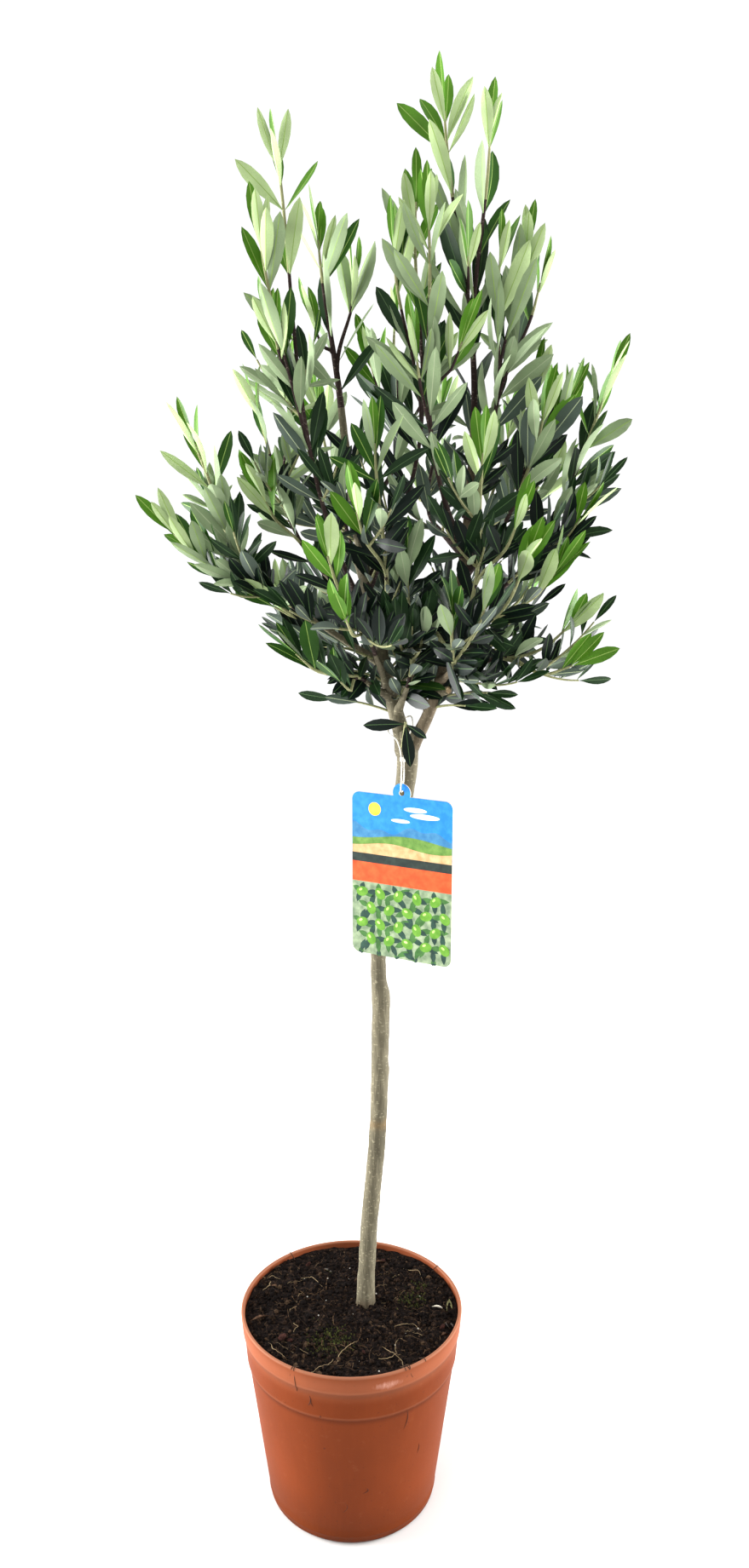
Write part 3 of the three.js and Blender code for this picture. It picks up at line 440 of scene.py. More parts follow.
# and by a stem's end, a strong stem's end, height, vigour and reach
FRESHENINGS = (0.24, 0.3, 0.32, 0.24, 0.42)
RIPE_HEIGHT = 1.055  # shoots that end above this have dark ripening stems
RIPE_LIMB_HEIGHT = 0.93
TONE_STEPS = (0.36, 0.66, 0.93)  # from old through mature and fresh to young leaves
UNDERS = np.array([4, 5, 5, 6])  # the underside's material for each tone
RIB_YOUNG, RIB_OLD, RIB_UNDER = 7, 8, 9
OLD_WOOD, STEM, GREEN_WOOD, CUT_WOOD, BROWN_WOOD = 0, 1, 2, 3, 4

PITCH_SHARES = {  # shoots whose pairs of leaves stand further apart, or closer, than the others
    "tall_left": 1.45, "centre_left": 1.25, "mid_left": 1.45, "top_left": 1.15, "low_left": 1.5,
    "low_right": 1.8, "lowest_right": 1.8, "front_left": 1.3, "front_right": 1.6, "far_left": 0.6,
    "far_right": 0.46, "mid_right": 0.76, "upper_right": 0.66, "front": 0.85, "front_centre": 0.85,
    "inner_front": 0.6, "inner_back": 0.6, "upper_front": 0.85, "upper_back": 0.85,
    "low_back_right": 1.3, "crown_top": 0.92,
}
PAINTED_LIGHT_LIFTS = {  # shoots whose leaves get lighter tones as painted light, where the crown is more brightly lit
    "mid_left": 0.22, "far_left": 0.12, "low_left": 0.2, "tall_left": 0.08, "front_left": 0.14,
    "low_right": 0.2, "lowest_right": 0.22, "front_right": 0.12,
}

# Regions of the crown, each with its own piece of leaves
REGIONS = {
    "upper_left": ("centre_left", "tall_left", "top_left"),
    "upper_right": ("crown_top", "upper_right", "upper_front", "mid_right"),
    "lower_left": ("far_left", "low_left", "mid_left", "front_left"),
    "lower_right": ("far_right", "low_right", "lowest_right", "front_right"),
    "front": ("front", "front_centre", "inner_front"),
    "back": (
        "upper_back", "inner_back", "low_back_right", "back_right", "low_back", "back",
        "low_back_left", "back_left",
    ),
}

# Hang card and string
CARD_WIDTH = 0.096
CARD_HEIGHT = 0.148
CARD_THICKNESS = 0.001
CARD_CORNER = 0.007
CARD_EYE = np.array([0.0453, -0.0075, 0.7004])
CARD_EYE_RADIUS = 0.0026
CARD_SHOULDER = 0.003
CARD_TAB_RADIUS = 0.0085
CARD_YAW = 27
ARC_STEPS = 14
PRINT_MARGIN = 0.0002
INK_THICKNESS = 0.00005
INK_SINK = 0.00002  # how deep the inks stand in the card, so that nothing shows between
PRINT_BANDS = ((1.0, 1), (-0.058, 7), (-0.066, 8), (-0.084, 9))  # top of each band, and its ink
INKS = (  # name, darkest, lightest
    ("grey-backed board", "#b9b2a2", "#c8c1b1"), ("sky blue ink", "#1673c6", "#2c86d0"),
    ("sun yellow ink", "#e0b92c", "#ecc94e"), ("cloud white ink", "#c9d6de", "#e3e9ec"),
    ("far hill blue ink", "#2b6a98", "#4583a9"), ("hill green ink", "#4d752e", "#6f9244"),
    ("sand ink", "#b88f5e", "#d0b083"), ("charcoal ink", "#18231f", "#28352f"),
    ("orange ink", "#cf4419", "#db592a"), ("pale field ink", "#64785c", "#98a886"),
    ("leaf green ink", "#2c5524", "#447336"), ("dark leaf ink", "#15312a", "#26493a"),
    ("fruit green ink", "#4f8420", "#6a9c34"), ("fruit light ink", "#9dc25f", "#bcd98b"),
)
FIELD_TOP = -0.0925
FIELD_PITCH = (0.0178, 0.0142)  # between the crosses of leaves, across and down
FIELD_LEFT = -0.0395
FIELD_RIGHT = 0.044
FIELD_LEAF_LENGTH = 0.0145
FIELD_LEAF_WIDTH = 0.0052
SKY = (  # the sun and the clouds: x, y, half their length and height, steps round them, ink
    (-0.026, -0.017, 0.006, 0.006, 28, 2), (0.013, -0.014, 0.011, 0.0022, 20, 3),
    (0.022, -0.019, 0.014, 0.0024, 20, 3), (-0.001, -0.025, 0.009, 0.0017, 20, 3),
)
STRING_LAY = 0.0032  # length of one turn of the string's two plies
PLY_RADIUS = 0.0004
PLY_OFFSET = 0.0003
STRING_STEPS = 1200
STRING_ROUTE = (  # in millimetres, as in the source
    (44.4, -9.7, 702.25), (45.3, -7.5, 701.85), (46.2, -5.3, 702.25), (46.5, -5.6, 708.9), (47, -5.8, 715),
    (46.9, -2.9, 730), (49.2, -2.6, 746), (54, 0.5, 756), (53.5, 8, 764), (49, 16.5, 762), (41, 19.5, 757),
    (34, 13.5, 752), (34.5, 2.5, 750), (40.5, -3, 746), (44.9, -2.9, 730), (44.7, -7.2, 715),
    (44.5, -9.4, 708.9),
)
KNOT_PLACE = np.array([0.0459, -0.0031, 0.7292])
KNOT_SIZE = (0.00185, 0.00125, 0.0042)
KNOT_COILS = 6.5 * math.pi
KNOT_STEPS = 70
KNOT_RADIUS = 0.00062

# The sprig at the fork
SPRIG_FOOT = (0.0452, 0.005, 0.738)
SPRIG_NODE = (0.048, -0.012, 0.763)
SPRIG_RADIUS = 0.0011
SPRIG_LEAVES = (((-1, -0.2, 0.02), 0.037), ((0.12, -0.25, -1), 0.037), ((0.8, -0.5, -0.45), 0.024))
SPRIG_SHAPE = (0.15, 0.15, 0.2, 0.1)  # curl, fold, twist and tone of its leaves

# Kinds of nodes, and the setting of a mix of colours
RAMP, MIX, MATH = "ShaderNodeValToRGB", "ShaderNodeMix", "ShaderNodeMath"
RANGE, MAPPING, VECTORS = "ShaderNodeMapRange", "ShaderNodeMapping", "ShaderNodeVectorMath"
COLOURS = {"data_type": "RGBA"}


def linear(code):
    """A colour written as an sRGB hex value, as the linear values that Blender works in."""
    shares = [int(code[i : i + 2], 16) / 255 for i in (1, 3, 5)]
    return tuple(s / 12.92 if s <= 0.04045 else ((s + 0.055) / 1.055) ** 2.4 for s in shares)


def unit(vector):
    return vector / np.linalg.norm(vector)


def bearing(degrees):
    """A level heading, from the right towards the back."""
    return np.array([math.cos(math.radians(degrees)), math.sin(math.radians(degrees))])


def clamped(value):
    return min(max(value, 0), 1)


def chance(*keys):
    """A repeatable number from 0 to 1 for each list of whole numbers, as in the source."""
    mixed = 2166136261
    for key in keys:
        mixed = ((mixed ^ key) * 16777619) & 0xFFFFFFFF
        mixed ^= mixed >> 15
    mixed = (mixed * 2246822519) & 0xFFFFFFFF
    return (mixed ^ (mixed >> 13)) / 4294967296


def between(limits, share):
    return limits[0] + (limits[1] - limits[0]) * share


# Lines through space


class Path:
    """A smooth line, read by the share of its length."""

    def __init__(self, points):
        self.points = np.array(points)
        steps = np.linalg.norm(np.diff(self.points, axis=0), axis=1)
        self.marks = np.concatenate([[0.0], np.cumsum(steps)])
        self.length = self.marks[-1]

    def at(self, share):
        marks = np.asarray(share) * self.length
        return np.stack([np.interp(marks, self.marks, axis) for axis in self.points.T], axis=-1)

    def heading(self, share, step=0.01):
        return unit(self.at(min(share + step, 1)) - self.at(max(share - step, 0)))


def bezier(controls, steps=60):
    """Points along a Bezier curve of any degree."""
    shares = np.linspace(0, 1, steps + 1)[:, None]
    rows = [np.array(c, float) for c in controls]
    while len(rows) > 1:
        rows = [a * (1 - shares) + b * shares for a, b in zip(rows, rows[1:])]
    return rows[0]


def spline(points, steps=24, closed=False):
    """Points along a centripetal Catmull-Rom curve through the given ones."""
    points = [np.array(p, float) for p in points]
    if closed:
        points = [points[-1], *points, points[0], points[1]]
    else:
        points = [2 * points[0] - points[1], *points, 2 * points[-1] - points[-2]]
    made = []
    for a, b, c, d in zip(points, points[1:], points[2:], points[3:]):
        before, here, after = (math.sqrt(np.linalg.norm(q - p)) for p, q in ((a, b), (b, c), (c, d)))
        leave = ((b - a) / before - (c - a) / (before + here) + (c - b) / here) * here
        arrive = ((c - b) / here - (d - b) / (here + after) + (d - c) / after) * here
        for t in np.linspace(0, 1, steps, endpoint=False):
            bend = (2 * t**3 - 3 * t**2 + 1) * b + (t**3 - 2 * t**2 + t) * leave
            made.append(bend + (-2 * t**3 + 3 * t**2) * c + (t**3 - t**2) * arrive)
    if not closed:
        made.append(points[-2])
    return made


# Meshes and materials


def placed(name, data):
    """A new object in the scene."""
    thing = bpy.data.objects.new(name, data)
    bpy.context.scene.collection.objects.link(thing)
    return thing


def finished(name, mesh, materials, slot, *nodes):
    """A new piece of the object, on its body and standing for its CAD nodes."""
    mesh.name = name
    piece = placed(name, mesh)
    for material in materials:
        mesh.materials.append(material)
    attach(piece, "root")
    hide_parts(*nodes)
    return piece


def smoothed(mesh, sharp=None):
    """A mesh that is shaded round, with edges past an angle in degrees left sharp."""
    mesh.polygons.foreach_set("use_smooth", np.ones(len(mesh.polygons), bool))
    if sharp:
        mesh.set_sharp_from_angle(angle=math.radians(sharp))
    return mesh


def tubes(bars, sides, closed=False):
    """Round bars as one mesh. Each bar is its places, its radii and its material's number."""
    data = bpy.data.curves.new("bars", "CURVE")
    data.dimensions = "3D"
    data.bevel_depth = 1.0
    data.bevel_resolution = sides // 2 - 2
    data.use_fill_caps = True
    for _ in range(1 + max(number for _, _, number in bars)):
        data.materials.append(None)
    for places, radii, number in bars:
        line = data.splines.new("POLY")
        line.points.add(len(places) - 1)
        line.points.foreach_set("co", np.column_stack([places, np.ones(len(places))]).ravel())
        line.points.foreach_set("radius", np.broadcast_to(radii, len(places)).astype(float))
        line.material_index = number
        line.use_cyclic_u = closed
        line.use_smooth = True
    holder = placed("bars", data)
    mesh = bpy.data.meshes.new_from_object(holder.evaluated_get(bpy.context.evaluated_depsgraph_get()))
    bpy.data.objects.remove(holder)
    numbers = np.empty(len(mesh.polygons), np.int32)
    mesh.polygons.foreach_get("material_index", numbers)
    mesh.materials.clear()  # this also clears the faces' numbers, so they are set again
    mesh.polygons.foreach_set("material_index", numbers)
    return mesh


def round_axis(radii, angles, heights):
    """A line of places given by their radii and angles round the pot's axis, and their heights."""
    return np.column_stack([radii * np.cos(angles), radii * np.sin(angles), heights])


def mesh_of(bm, merged=True):
    """A bmesh as a mesh, with its doubles merged and its faces pointing outwards."""
    if merged:
        bmesh.ops.remove_doubles(bm, verts=bm.verts, dist=1e-6)
    bmesh.ops.recalc_face_normals(bm, faces=bm.faces)
    mesh = bpy.data.meshes.new("shape")
    bm.to_mesh(mesh)
    bm.free()
    return mesh


def spun(profile, sides):
    """A profile of radii and heights turned once round the Z axis."""
    bm = bmesh.new()
    verts = [bm.verts.new((radius, 0, height)) for radius, height in profile]
    edges = [bm.edges.new(pair) for pair in zip(verts, verts[1:])]
    bmesh.ops.spin(
        bm, geom=verts + edges, cent=(0, 0, 0), axis=(0, 0, 1), angle=2 * math.pi, steps=sides,
        use_merge=True,
    )
    return bm


def scattered(shape, places, turns, sizes, numbers):
    """Many copies of a small bmesh shape as one mesh."""
    corners = np.array([v.co for v in shape.verts])
    faces = np.array([[v.index for v in f.verts] for f in shape.faces])
    shape.free()
    moved = np.einsum("nij,nvj->nvi", turns, corners[None] * sizes[:, None, :]) + places[:, None, :]
    offsets = np.arange(len(places))[:, None, None] * len(corners)
    mesh = bpy.data.meshes.new("shape")
    copies = (faces[None] + offsets).reshape(-1, faces.shape[1])
    mesh.from_pydata(moved.reshape(-1, 3), [], copies.tolist())
    mesh.polygons.foreach_set("material_index", np.repeat(numbers, len(faces)).astype(np.int32))
    return mesh


def ball():
    """A little lump of twenty faces."""
    shape = bmesh.new()
    bmesh.ops.create_icosphere(shape, subdivisions=1, radius=1.0)
    shape.verts.index_update()
    return shape


def random_turns(dice, count):
    """Turns at random, each as a matrix."""
    spins = dice.normal(size=(count, 4))
    w, x, y, z = (spins / np.linalg.norm(spins, axis=1, keepdims=True)).T
    rows = [
        [1 - 2 * (y * y + z * z), 2 * (x * y - z * w), 2 * (x * z + y * w)],
        [2 * (x * y + z * w), 1 - 2 * (x * x + z * z), 2 * (y * z - x * w)],
        [2 * (x * z - y * w), 2 * (y * z + x * w), 1 - 2 * (x * x + y * y)],
    ]
    return np.moveaxis(np.array(rows), 2, 0)


def add_node(material, kind, wanted=0, settings=None, stops=(), **links):
    """Adds a node with its settings, a ramp's stops, and its inputs set to values or linked to outputs.
    It gives the output that is wanted."""
    node = material.node_tree.nodes.new(kind)
    for name, value in (settings or {}).items():
        setattr(node, name, value)
    for _ in stops[2:]:
        node.color_ramp.elements.new(0.5)
    for number, (position, tone) in enumerate(stops):
        node.color_ramp.elements[number].position = position
        node.color_ramp.elements[number].color = (*tone, 1)
    for name, value in links.items():
        socket = node.inputs[int(name[1:]) if name[1:].isdigit() else name.replace("_", " ")]
        if isinstance(value, bpy.types.NodeSocket):
            material.node_tree.links.new(value, socket)
        else:
            socket.default_value = (*value, 1) if socket.type == "RGBA" else value
    return node.outputs[wanted]


def new_material(name, colour, roughness, gloss=0.2, **sockets):
    """A material of one colour, ready for patterns."""
    material = bpy.data.materials.new(name)
    material.use_nodes = True
    material.diffuse_color = (*colour, 1)
    shader = material.node_tree.nodes["Principled BSDF"]
    values = {"Base_Color": (*colour, 1), "Roughness": roughness, "Specular_IOR_Level": gloss, **sockets}
    for socket, value in values.items():
        shader.inputs[socket.replace("_", " ")].default_value = value
    return material


def dressed(material, colour, relief=None, height=0.0):
    """A material with its pattern of colour, and with relief of a real height."""
    shader = material.node_tree.nodes["Principled BSDF"]
    material.node_tree.links.new(colour, shader.inputs["Base Color"])
    if relief is not None:
        bump = add_node(material, "ShaderNodeBump", Height=relief, Strength=1.0, Distance=height)
        material.node_tree.links.new(bump, shader.inputs["Normal"])
    return material


def lumps(material, size, stretch=(1, 1, 1), detail=3.0, rough=0.5):
    """A pattern with lumps of a real size, drawn out along the axes by the stretch."""
    place = add_node(material, "ShaderNodeTexCoord", "Object")
    drawn = add_node(material, MAPPING, Vector=place, Scale=tuple(1 / s for s in stretch))
    return add_node(
        material, "ShaderNodeTexNoise", Vector=drawn, Scale=1 / size, Detail=detail, Roughness=rough,
    )


def veiled(material, pattern, span, strength, under, over):
    """One colour laid over another where a pattern is strong."""
    stops = ((span[0], (0, 0, 0)), (span[1], (strength,) * 3))
    veil = add_node(material, RAMP, stops=stops, Fac=pattern)
    return add_node(material, MIX, 2, COLOURS, _0=veil, _6=under, _7=over)


def mottled(name, base, stops, size, roughness, gloss=0.2, detail=3.0, rough=0.5, height=0.0, **sockets):
    """A plain finish: one fine pattern gives it its tones, and its relief if it has a height."""
    material = new_material(name, base, roughness, gloss, **sockets)
    grain = lumps(material, size, detail=detail, rough=rough)
    tones = add_node(material, RAMP, stops=stops, Fac=grain)
    return dressed(material, tones, grain if height else None, height)


def shifted(colour, share):
    """A colour made lighter or darker by a share."""
    return tuple(min(1.0, c * (1 + share)) for c in colour)


# Settings


def colour(name, code):
    """A colour property with a hex default."""
    return FloatVectorProperty(
        name=name, description=name, subtype="COLOR", min=0, max=1, default=linear(code),
    )


def distance(name, description, default, low, high):
    """A length property."""
    return FloatProperty(
        name=name, description=description, default=default, min=low, max=high, subtype="DISTANCE",
        unit="LENGTH",
    )


class OliveSizes(bpy.types.PropertyGroup):
    """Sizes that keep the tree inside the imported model's box."""

    leaf_length: distance("Leaf length", "Length of a full-grown leaf", 0.06, 0.03, 0.078)
    leaf_width: distance("Leaf width", "Width of a full-grown leaf at its widest", 0.0132, 0.006, 0.02)
    openness: FloatProperty(
        name="Openness", description="How far apart pairs of leaves are, as a share of the usual distance",
        default=1.0, min=0.7, max=1.6, subtype="FACTOR",
    )
    bark_relief: distance("Bark relief", "How far the bark stands in and out", 0.0007, 0, 0.0015)
    compost_relief: distance("Compost relief", "Height of the compost's hummocks", 0.0035, 0, 0.006)
    crumbs: IntProperty(
        name="Crumbs", description="Number of loose crumbs on the compost", default=5200, min=0, max=9000,
    )
    fibres: IntProperty(
        name="Fibres", description="Number of loose root fibres on the compost", default=300, min=0, max=1500,
    )


class OliveColours(bpy.types.PropertyGroup):
    """The main colour of each finish."""

    young_leaf: colour("Upper side of the youngest leaves", "#4c7a1c")
    fresh_leaf: colour("Upper side of this season's leaves", "#2a5016")
    mature_leaf: colour("Upper side of full-grown leaves", "#1a3118")
    # The dark upper side of the leaves inside the crown is partly their own older colour and partly painted
    # shade
    old_leaf: colour("Upper side of the leaves inside the crown", "#0e1a15")
    young_under: colour("Underside of the youngest leaves", "#a8be86")
    mature_under: colour("Underside of full-grown leaves", "#879b73")
    old_under: colour("Underside of the leaves inside the crown", "#46554a")
    bark: colour("Bark", "#696351")
    brown_bark: colour("Weathered bark of the right bough", "#655a49")
    stem: colour("Ripening stems", "#362a28")
    green_wood: colour("Green twigs", "#8f9068")
    pot: colour("Pot", "#6d2f10")
    compost: colour("Compost", "#1c1614")
    floor: colour("Floor", "#e6e5e3")


# Growth: the source's own rule, carried on to finer twigs


class Limb:
    """A bar of wood that others grow on: its line, and its radii read by the share of its length."""

    def __init__(self, points, radii):
        self.path = Path(points)
        self.radii = np.array(radii, float)

    def radius(self, share):
        return np.interp(share, np.linspace(0, 1, len(self.radii)), self.radii)

    def spans(self, count):
        """The bar as short straight lengths: starts, ends and radii."""
        shares = np.linspace(0, 1, count + 1)
        places = self.path.at(shares)
        return places[:-1], places[1:], self.radius(shares[:-1])


def all_spans(limbs, count):
    """The spans of several bars together."""
    return [np.concatenate(rows) for rows in zip(*(limb.spans(count) for limb in limbs))]


def nearest_bark(places, spans):
    """How far each place is from the nearest bark, and how high that bark is."""
    starts, ends, radii = spans
    along = ends - starts
    offsets = places[:, None] - starts
    shares = np.clip((offsets * along).sum(-1) / (along * along).sum(-1), 0, 1)
    nearest = starts + shares[..., None] * along
    away = np.linalg.norm(places[:, None] - nearest, axis=-1) - radii
    best = away.argmin(1)
    rows = np.arange(len(places))
    return away[rows, best], nearest[rows, best, 2]


def crown_place(spot):
    """A place given by its bearing, reach and height round the crown's axis."""
    degrees, reach, height = spot
    return np.array([*(CROWN_AXIS + reach * bearing(degrees)), height])


def reach_of(places):
    return np.linalg.norm(places[..., :2] - CROWN_AXIS, axis=-1)


def trunk_limb():
    heights, leans, depths, widths = zip(*TRUNK_STATIONS)
    centre = [(lean, depth, height) for height, lean, depth in zip(heights, leans, depths)]
    buried = (*centre[0][:2], COMPOST_HEIGHT - 0.02)
    line = spline([buried, *centre])
    path = Path(line)
    levels = path.at(np.linspace(0, 1, 400))[:, 2]
    flare = FLARE * np.exp(-np.maximum(levels - COMPOST_HEIGHT, 0) / FLARE_HEIGHT)
    return Limb(line, np.interp(levels, heights, widths) / 2 + flare)


def bough_limb(spec, limbs):
    foot, end = limbs[spec.on].path.at(spec.at), crown_place(spec.end)
    out, rise = spec.bow
    points = bezier([foot, foot + (end - foot) * np.array([out, out, rise]), end], 100)
    if spec.radius:
        return Limb(points, [spec.radius, MAIN_TIP_RADIUS])
    return Limb(points[: round(100 * BRANCH_WOOD) + 1], [BRANCH_FOOT_RADIUS, BRANCH_TIP_RADIUS])


def grow_limbs():
    limbs = {"trunk": trunk_limb()}
    for name, spec in LIMBS.items():
        limbs[name] = bough_limb(spec, limbs)
    return limbs


def stem_to(start, heading, tip, foot_radius):
    """A stem that rises to a tip, and its leader on towards it."""
    rise = unit(unit(tip - start) + UP * UPTURN)
    end = tip - rise * END_LEAF_LENGTH
    span = np.linalg.norm(end - start)
    line = bezier([start, start + heading * STEM_LEAD[0] * span, end - rise * STEM_LEAD[1] * span, end])
    leader = np.linspace(end, tip - rise * LEADER_REACH, 12)[1:]
    whole = Path(np.concatenate([line, leader]))
    share = Path(line).length / whole.length
    radii = np.interp(np.linspace(0, 1, 30), [0, share, 1], [foot_radius, STEM_END_RADIUS, LEADER_RADIUS])
    stem = Limb(whole.points, radii)
    stem.tip = tip
    return stem


def shoot_stems(spec, limb):
    tips = [crown_place(spot) for spot in spec.tips]
    main = stem_to(limb.path.at(1), limb.path.heading(1), tips[0], limb.radii[-1])
    stems = [main]
    for i, tip in enumerate(tips[1:]):
        share = (FIRST_FORK + NEXT_FORK * i) * (1 - END_LEAF_LENGTH / main.path.length / 2)
        start, radius = main.path.at(share), main.radius(share) * SIDE_STEM
        stems.append(stem_to(start, main.path.heading(share), tip, radius))
    return stems


def leant(heading, outwards, turn, lean):
    """A heading leant over by an angle, towards a turn round it."""
    first = outwards * LEAN_AXIS[0] - UP * LEAN_AXIS[1]
    first = unit(first - heading * (first @ heading))
    second = np.cross(heading, first)
    angle = math.radians(lean)
    side = first * math.cos(turn) + second * math.sin(turn)
    return heading * math.cos(angle) + side * math.sin(angle)


class Crowd:
    """Remembers where leaves lie, so that a new one keeps clear of them."""

    def __init__(self, room):
        self.room = room
        self.cells = {}

    def cell_of(self, place):
        return tuple(int(c // self.room) for c in place)

    def is_clear(self, places):
        for place in places:
            x, y, z = self.cell_of(place)
            for cell in ((x + i, y + j, z + k) for i in (-1, 0, 1) for j in (-1, 0, 1) for k in (-1, 0, 1)):
                for other in self.cells.get(cell, ()):
                    if sum((a - b) ** 2 for a, b in zip(place, other)) < self.room**2:
                        return False
        return True

    def add(self, places):
        for place in places:
            self.cells.setdefault(self.cell_of(place), []).append(tuple(place))


def in_box(places):
    return (places >= LOWEST + BOX_MARGIN).all() and (places <= HIGHEST - BOX_MARGIN).all()


class Growth:
    """What grows on one shoot: its stems and twigs as bars, and its leaves as rows of numbers."""

    leaf_rise = LEAF_RISE
    twig_rise = TWIG_RISE

    def __init__(self, spec, number, stems, others, bark, crowd, sizes):
        self.outwards = np.array([*bearing(spec.tips[0][0]), 0])
        self.twiggy = spec.twiggy
        self.openness = sizes.openness * PITCH_SHARES.get(spec.shoot, 1.0)
        self.lift = PAINTED_LIGHT_LIFTS.get(spec.shoot, 0.0)
        self.number, self.stems, self.sizes = number, stems, sizes
        self.home, self.others, self.bark, self.crowd = all_spans(stems, 8), others, bark, crowd
        ends = np.array([stem.tip for stem in stems] + [stem.path.at(0) for stem in stems])
        self.furthest = reach_of(ends).max() + OVERREACH
        self.highest = ends[:, 2].max() + OVERREACH
        self.bars, self.leaves = [], []

    def is_free(self, places):
        """Whether a leaf or twig there keeps to its own shoot, and clear of bark and of other shoots."""
        if reach_of(places).max() > self.furthest or places[:, 2].max() > self.highest or not in_box(places):
            return False
        home, height = nearest_bark(places, self.home)
        if home.max() > SHOOT_ROOM or (places[:, 2] < height - HANG).any():
            return False
        if nearest_bark(places, self.bark)[0].min() < LIMB_SPACE:
            return False
        return (nearest_bark(places, self.others)[0] > home - MINGLE).all()

    def add_leaf(self, root, heading, face, size, fresh, keys, tested=True):
        side = unit(np.cross(heading, face))
        upper = np.cross(side, heading)
        across = np.array([FRONTAGE * (root[0] - CROWN_AXIS[0]), root[1] - FACE_LINE, 0.01])
        roll = math.atan2(-(side @ across), upper @ across)
        if abs(roll) > between(UNDER_ROLLS, vigour(root)):
            roll -= math.copysign(math.pi, roll)
        roll = FACING * roll + math.radians(LEAF_SWAY) * (2 * chance(*keys, 5) - 1)
        c, s = math.cos(roll), math.sin(roll)
        side, upper = side * c + upper * s, upper * c - side * s
        length = size * self.sizes.leaf_length * between(LEAF_LENGTH_RANGE, chance(*keys, 11))
        width = length / self.sizes.leaf_length * self.sizes.leaf_width
        width *= between(LEAF_WIDTH_RANGE, chance(*keys, 12))
        width *= between(WIDENINGS, vigour(root))
        curl = between(LEAF_CURLS, chance(*keys, 13)) * (1 if tested else END_CURL)
        rib = root + length * (heading * RIB_PROBES + upper * curl / 2 * RIB_PROBES**2)
        if tested and not (self.is_free(rib) and self.crowd.is_clear(rib)):
            return False
        self.crowd.add(rib)
        fold = between(LEAF_FOLDS, chance(*keys, 14))
        twist = LEAF_TWIST * (2 * chance(*keys, 15) - 1)
        # self.lift is painted light: shoots where the crown is lit more brightly get lighter leaf tones
        tone = fresh + self.lift + TONE_SPREAD * (chance(*keys, 16) - 0.5)
        self.leaves.append((*root, *heading, *side, *upper, length, width, curl, fold, twist, tone))
        return True

    def add_leant_leaf(self, root, tangent, turn, lean, size, fresh, keys):
        """A leaf leant off a stem, turned on until it finds room."""
        for attempt in range(TRIES):
            heading = leant(tangent, self.outwards, turn + TRY_TURN * attempt, lean)
            rise = self.leaf_rise * (1 + OUTER_RISE * reach_share(root)) * (1 - max(tangent[2], 0))
            heading = unit(heading + UP * rise)
            if self.add_leaf(root, heading, tangent, size, fresh, (*keys, attempt)):
                return

    def add_pair(self, root, tangent, turn, lean, size, fresh, keys):
        """A pair of leaves on opposite sides of a stem."""
        self.add_leant_leaf(root, tangent, turn, lean, size, fresh, (*keys, 0))
        self.add_leant_leaf(root, tangent, turn + math.pi, lean, size, fresh, (*keys, 1))

    def add_tuft(self, bar, tip, fresh, keys):
        """The leaves that end a stem or twig: one straight on, and close pairs round it."""
        end = bar.path.at(1)
        heading = unit(tip - end)
        size = np.linalg.norm(tip - end) / self.sizes.leaf_length
        fresh += TUFT_TONE
        self.add_leaf(end, heading, FRONT, TUFT_END_SIZE * size, fresh, (*keys, 31), tested=False)
        first = 3 * chance(*keys, 32)
        for i, (back, lean, share) in enumerate(TUFT_PAIRS):
            if i == 2 and chance(*keys, 36) < TUFT_SKIPS:
                continue
            root = bar.path.at(max(TUFT_LOWEST, 1 - back / bar.path.length))
            turn = first + math.pi / 2 * i
            self.add_pair(root, heading, turn, lean, share * size, fresh - TUFT_FADE * i, (*keys, 33 + i))

    def add_twig(self, start, tangent, turn, fresh, keys):
        """A side twig that turns upwards, with pairs of leaves and a tuft."""
        length = between(TWIG_LENGTHS, chance(*keys, 21))
        for attempt in range(TRIES):
            heading = leant(tangent, self.outwards, turn + TRY_TURN * attempt, TWIG_ANGLE)
            bend = start + heading * length / 2
            rising = unit(heading + UP * self.twig_rise)
            end = bend + rising * length / 2
            ribs = np.array([bend, end, end + rising * TWIG_TIP])
            if self.is_free(ribs) and self.crowd.is_clear(ribs):
                break
        else:
            return
        twig = Limb(bezier([start, bend, end], 10), [TWIG_RADIUS, LEADER_RADIUS])
        self.bars.append((twig.path.points, np.linspace(TWIG_RADIUS, LEADER_RADIUS, 11), GREEN_WOOD))
        self.crowd.add(twig.path.at(np.linspace(0.4, 1, 4)))
        node, place = 0, 0.5 * TWIG_NODE_PITCH
        while place < length - TWIG_END:
            share = place / length
            lean = between(LEAF_ANGLES[0], chance(*keys, node, 23))
            size = LEAF_SIZES[0] * (1 - TWIG_TAPER * share)
            spin = node * math.pi / 2 + chance(*keys, 24)
            root, here = twig.path.at(share), twig.path.heading(share)
            self.add_pair(root, here, spin, lean, size, fresh + TWIG_TONE * share, (*keys, node))
            place += TWIG_NODE_PITCH
            node += 1
        self.add_tuft(twig, end + rising * TUFT_LENGTH, fresh + TWIG_TONE, keys)

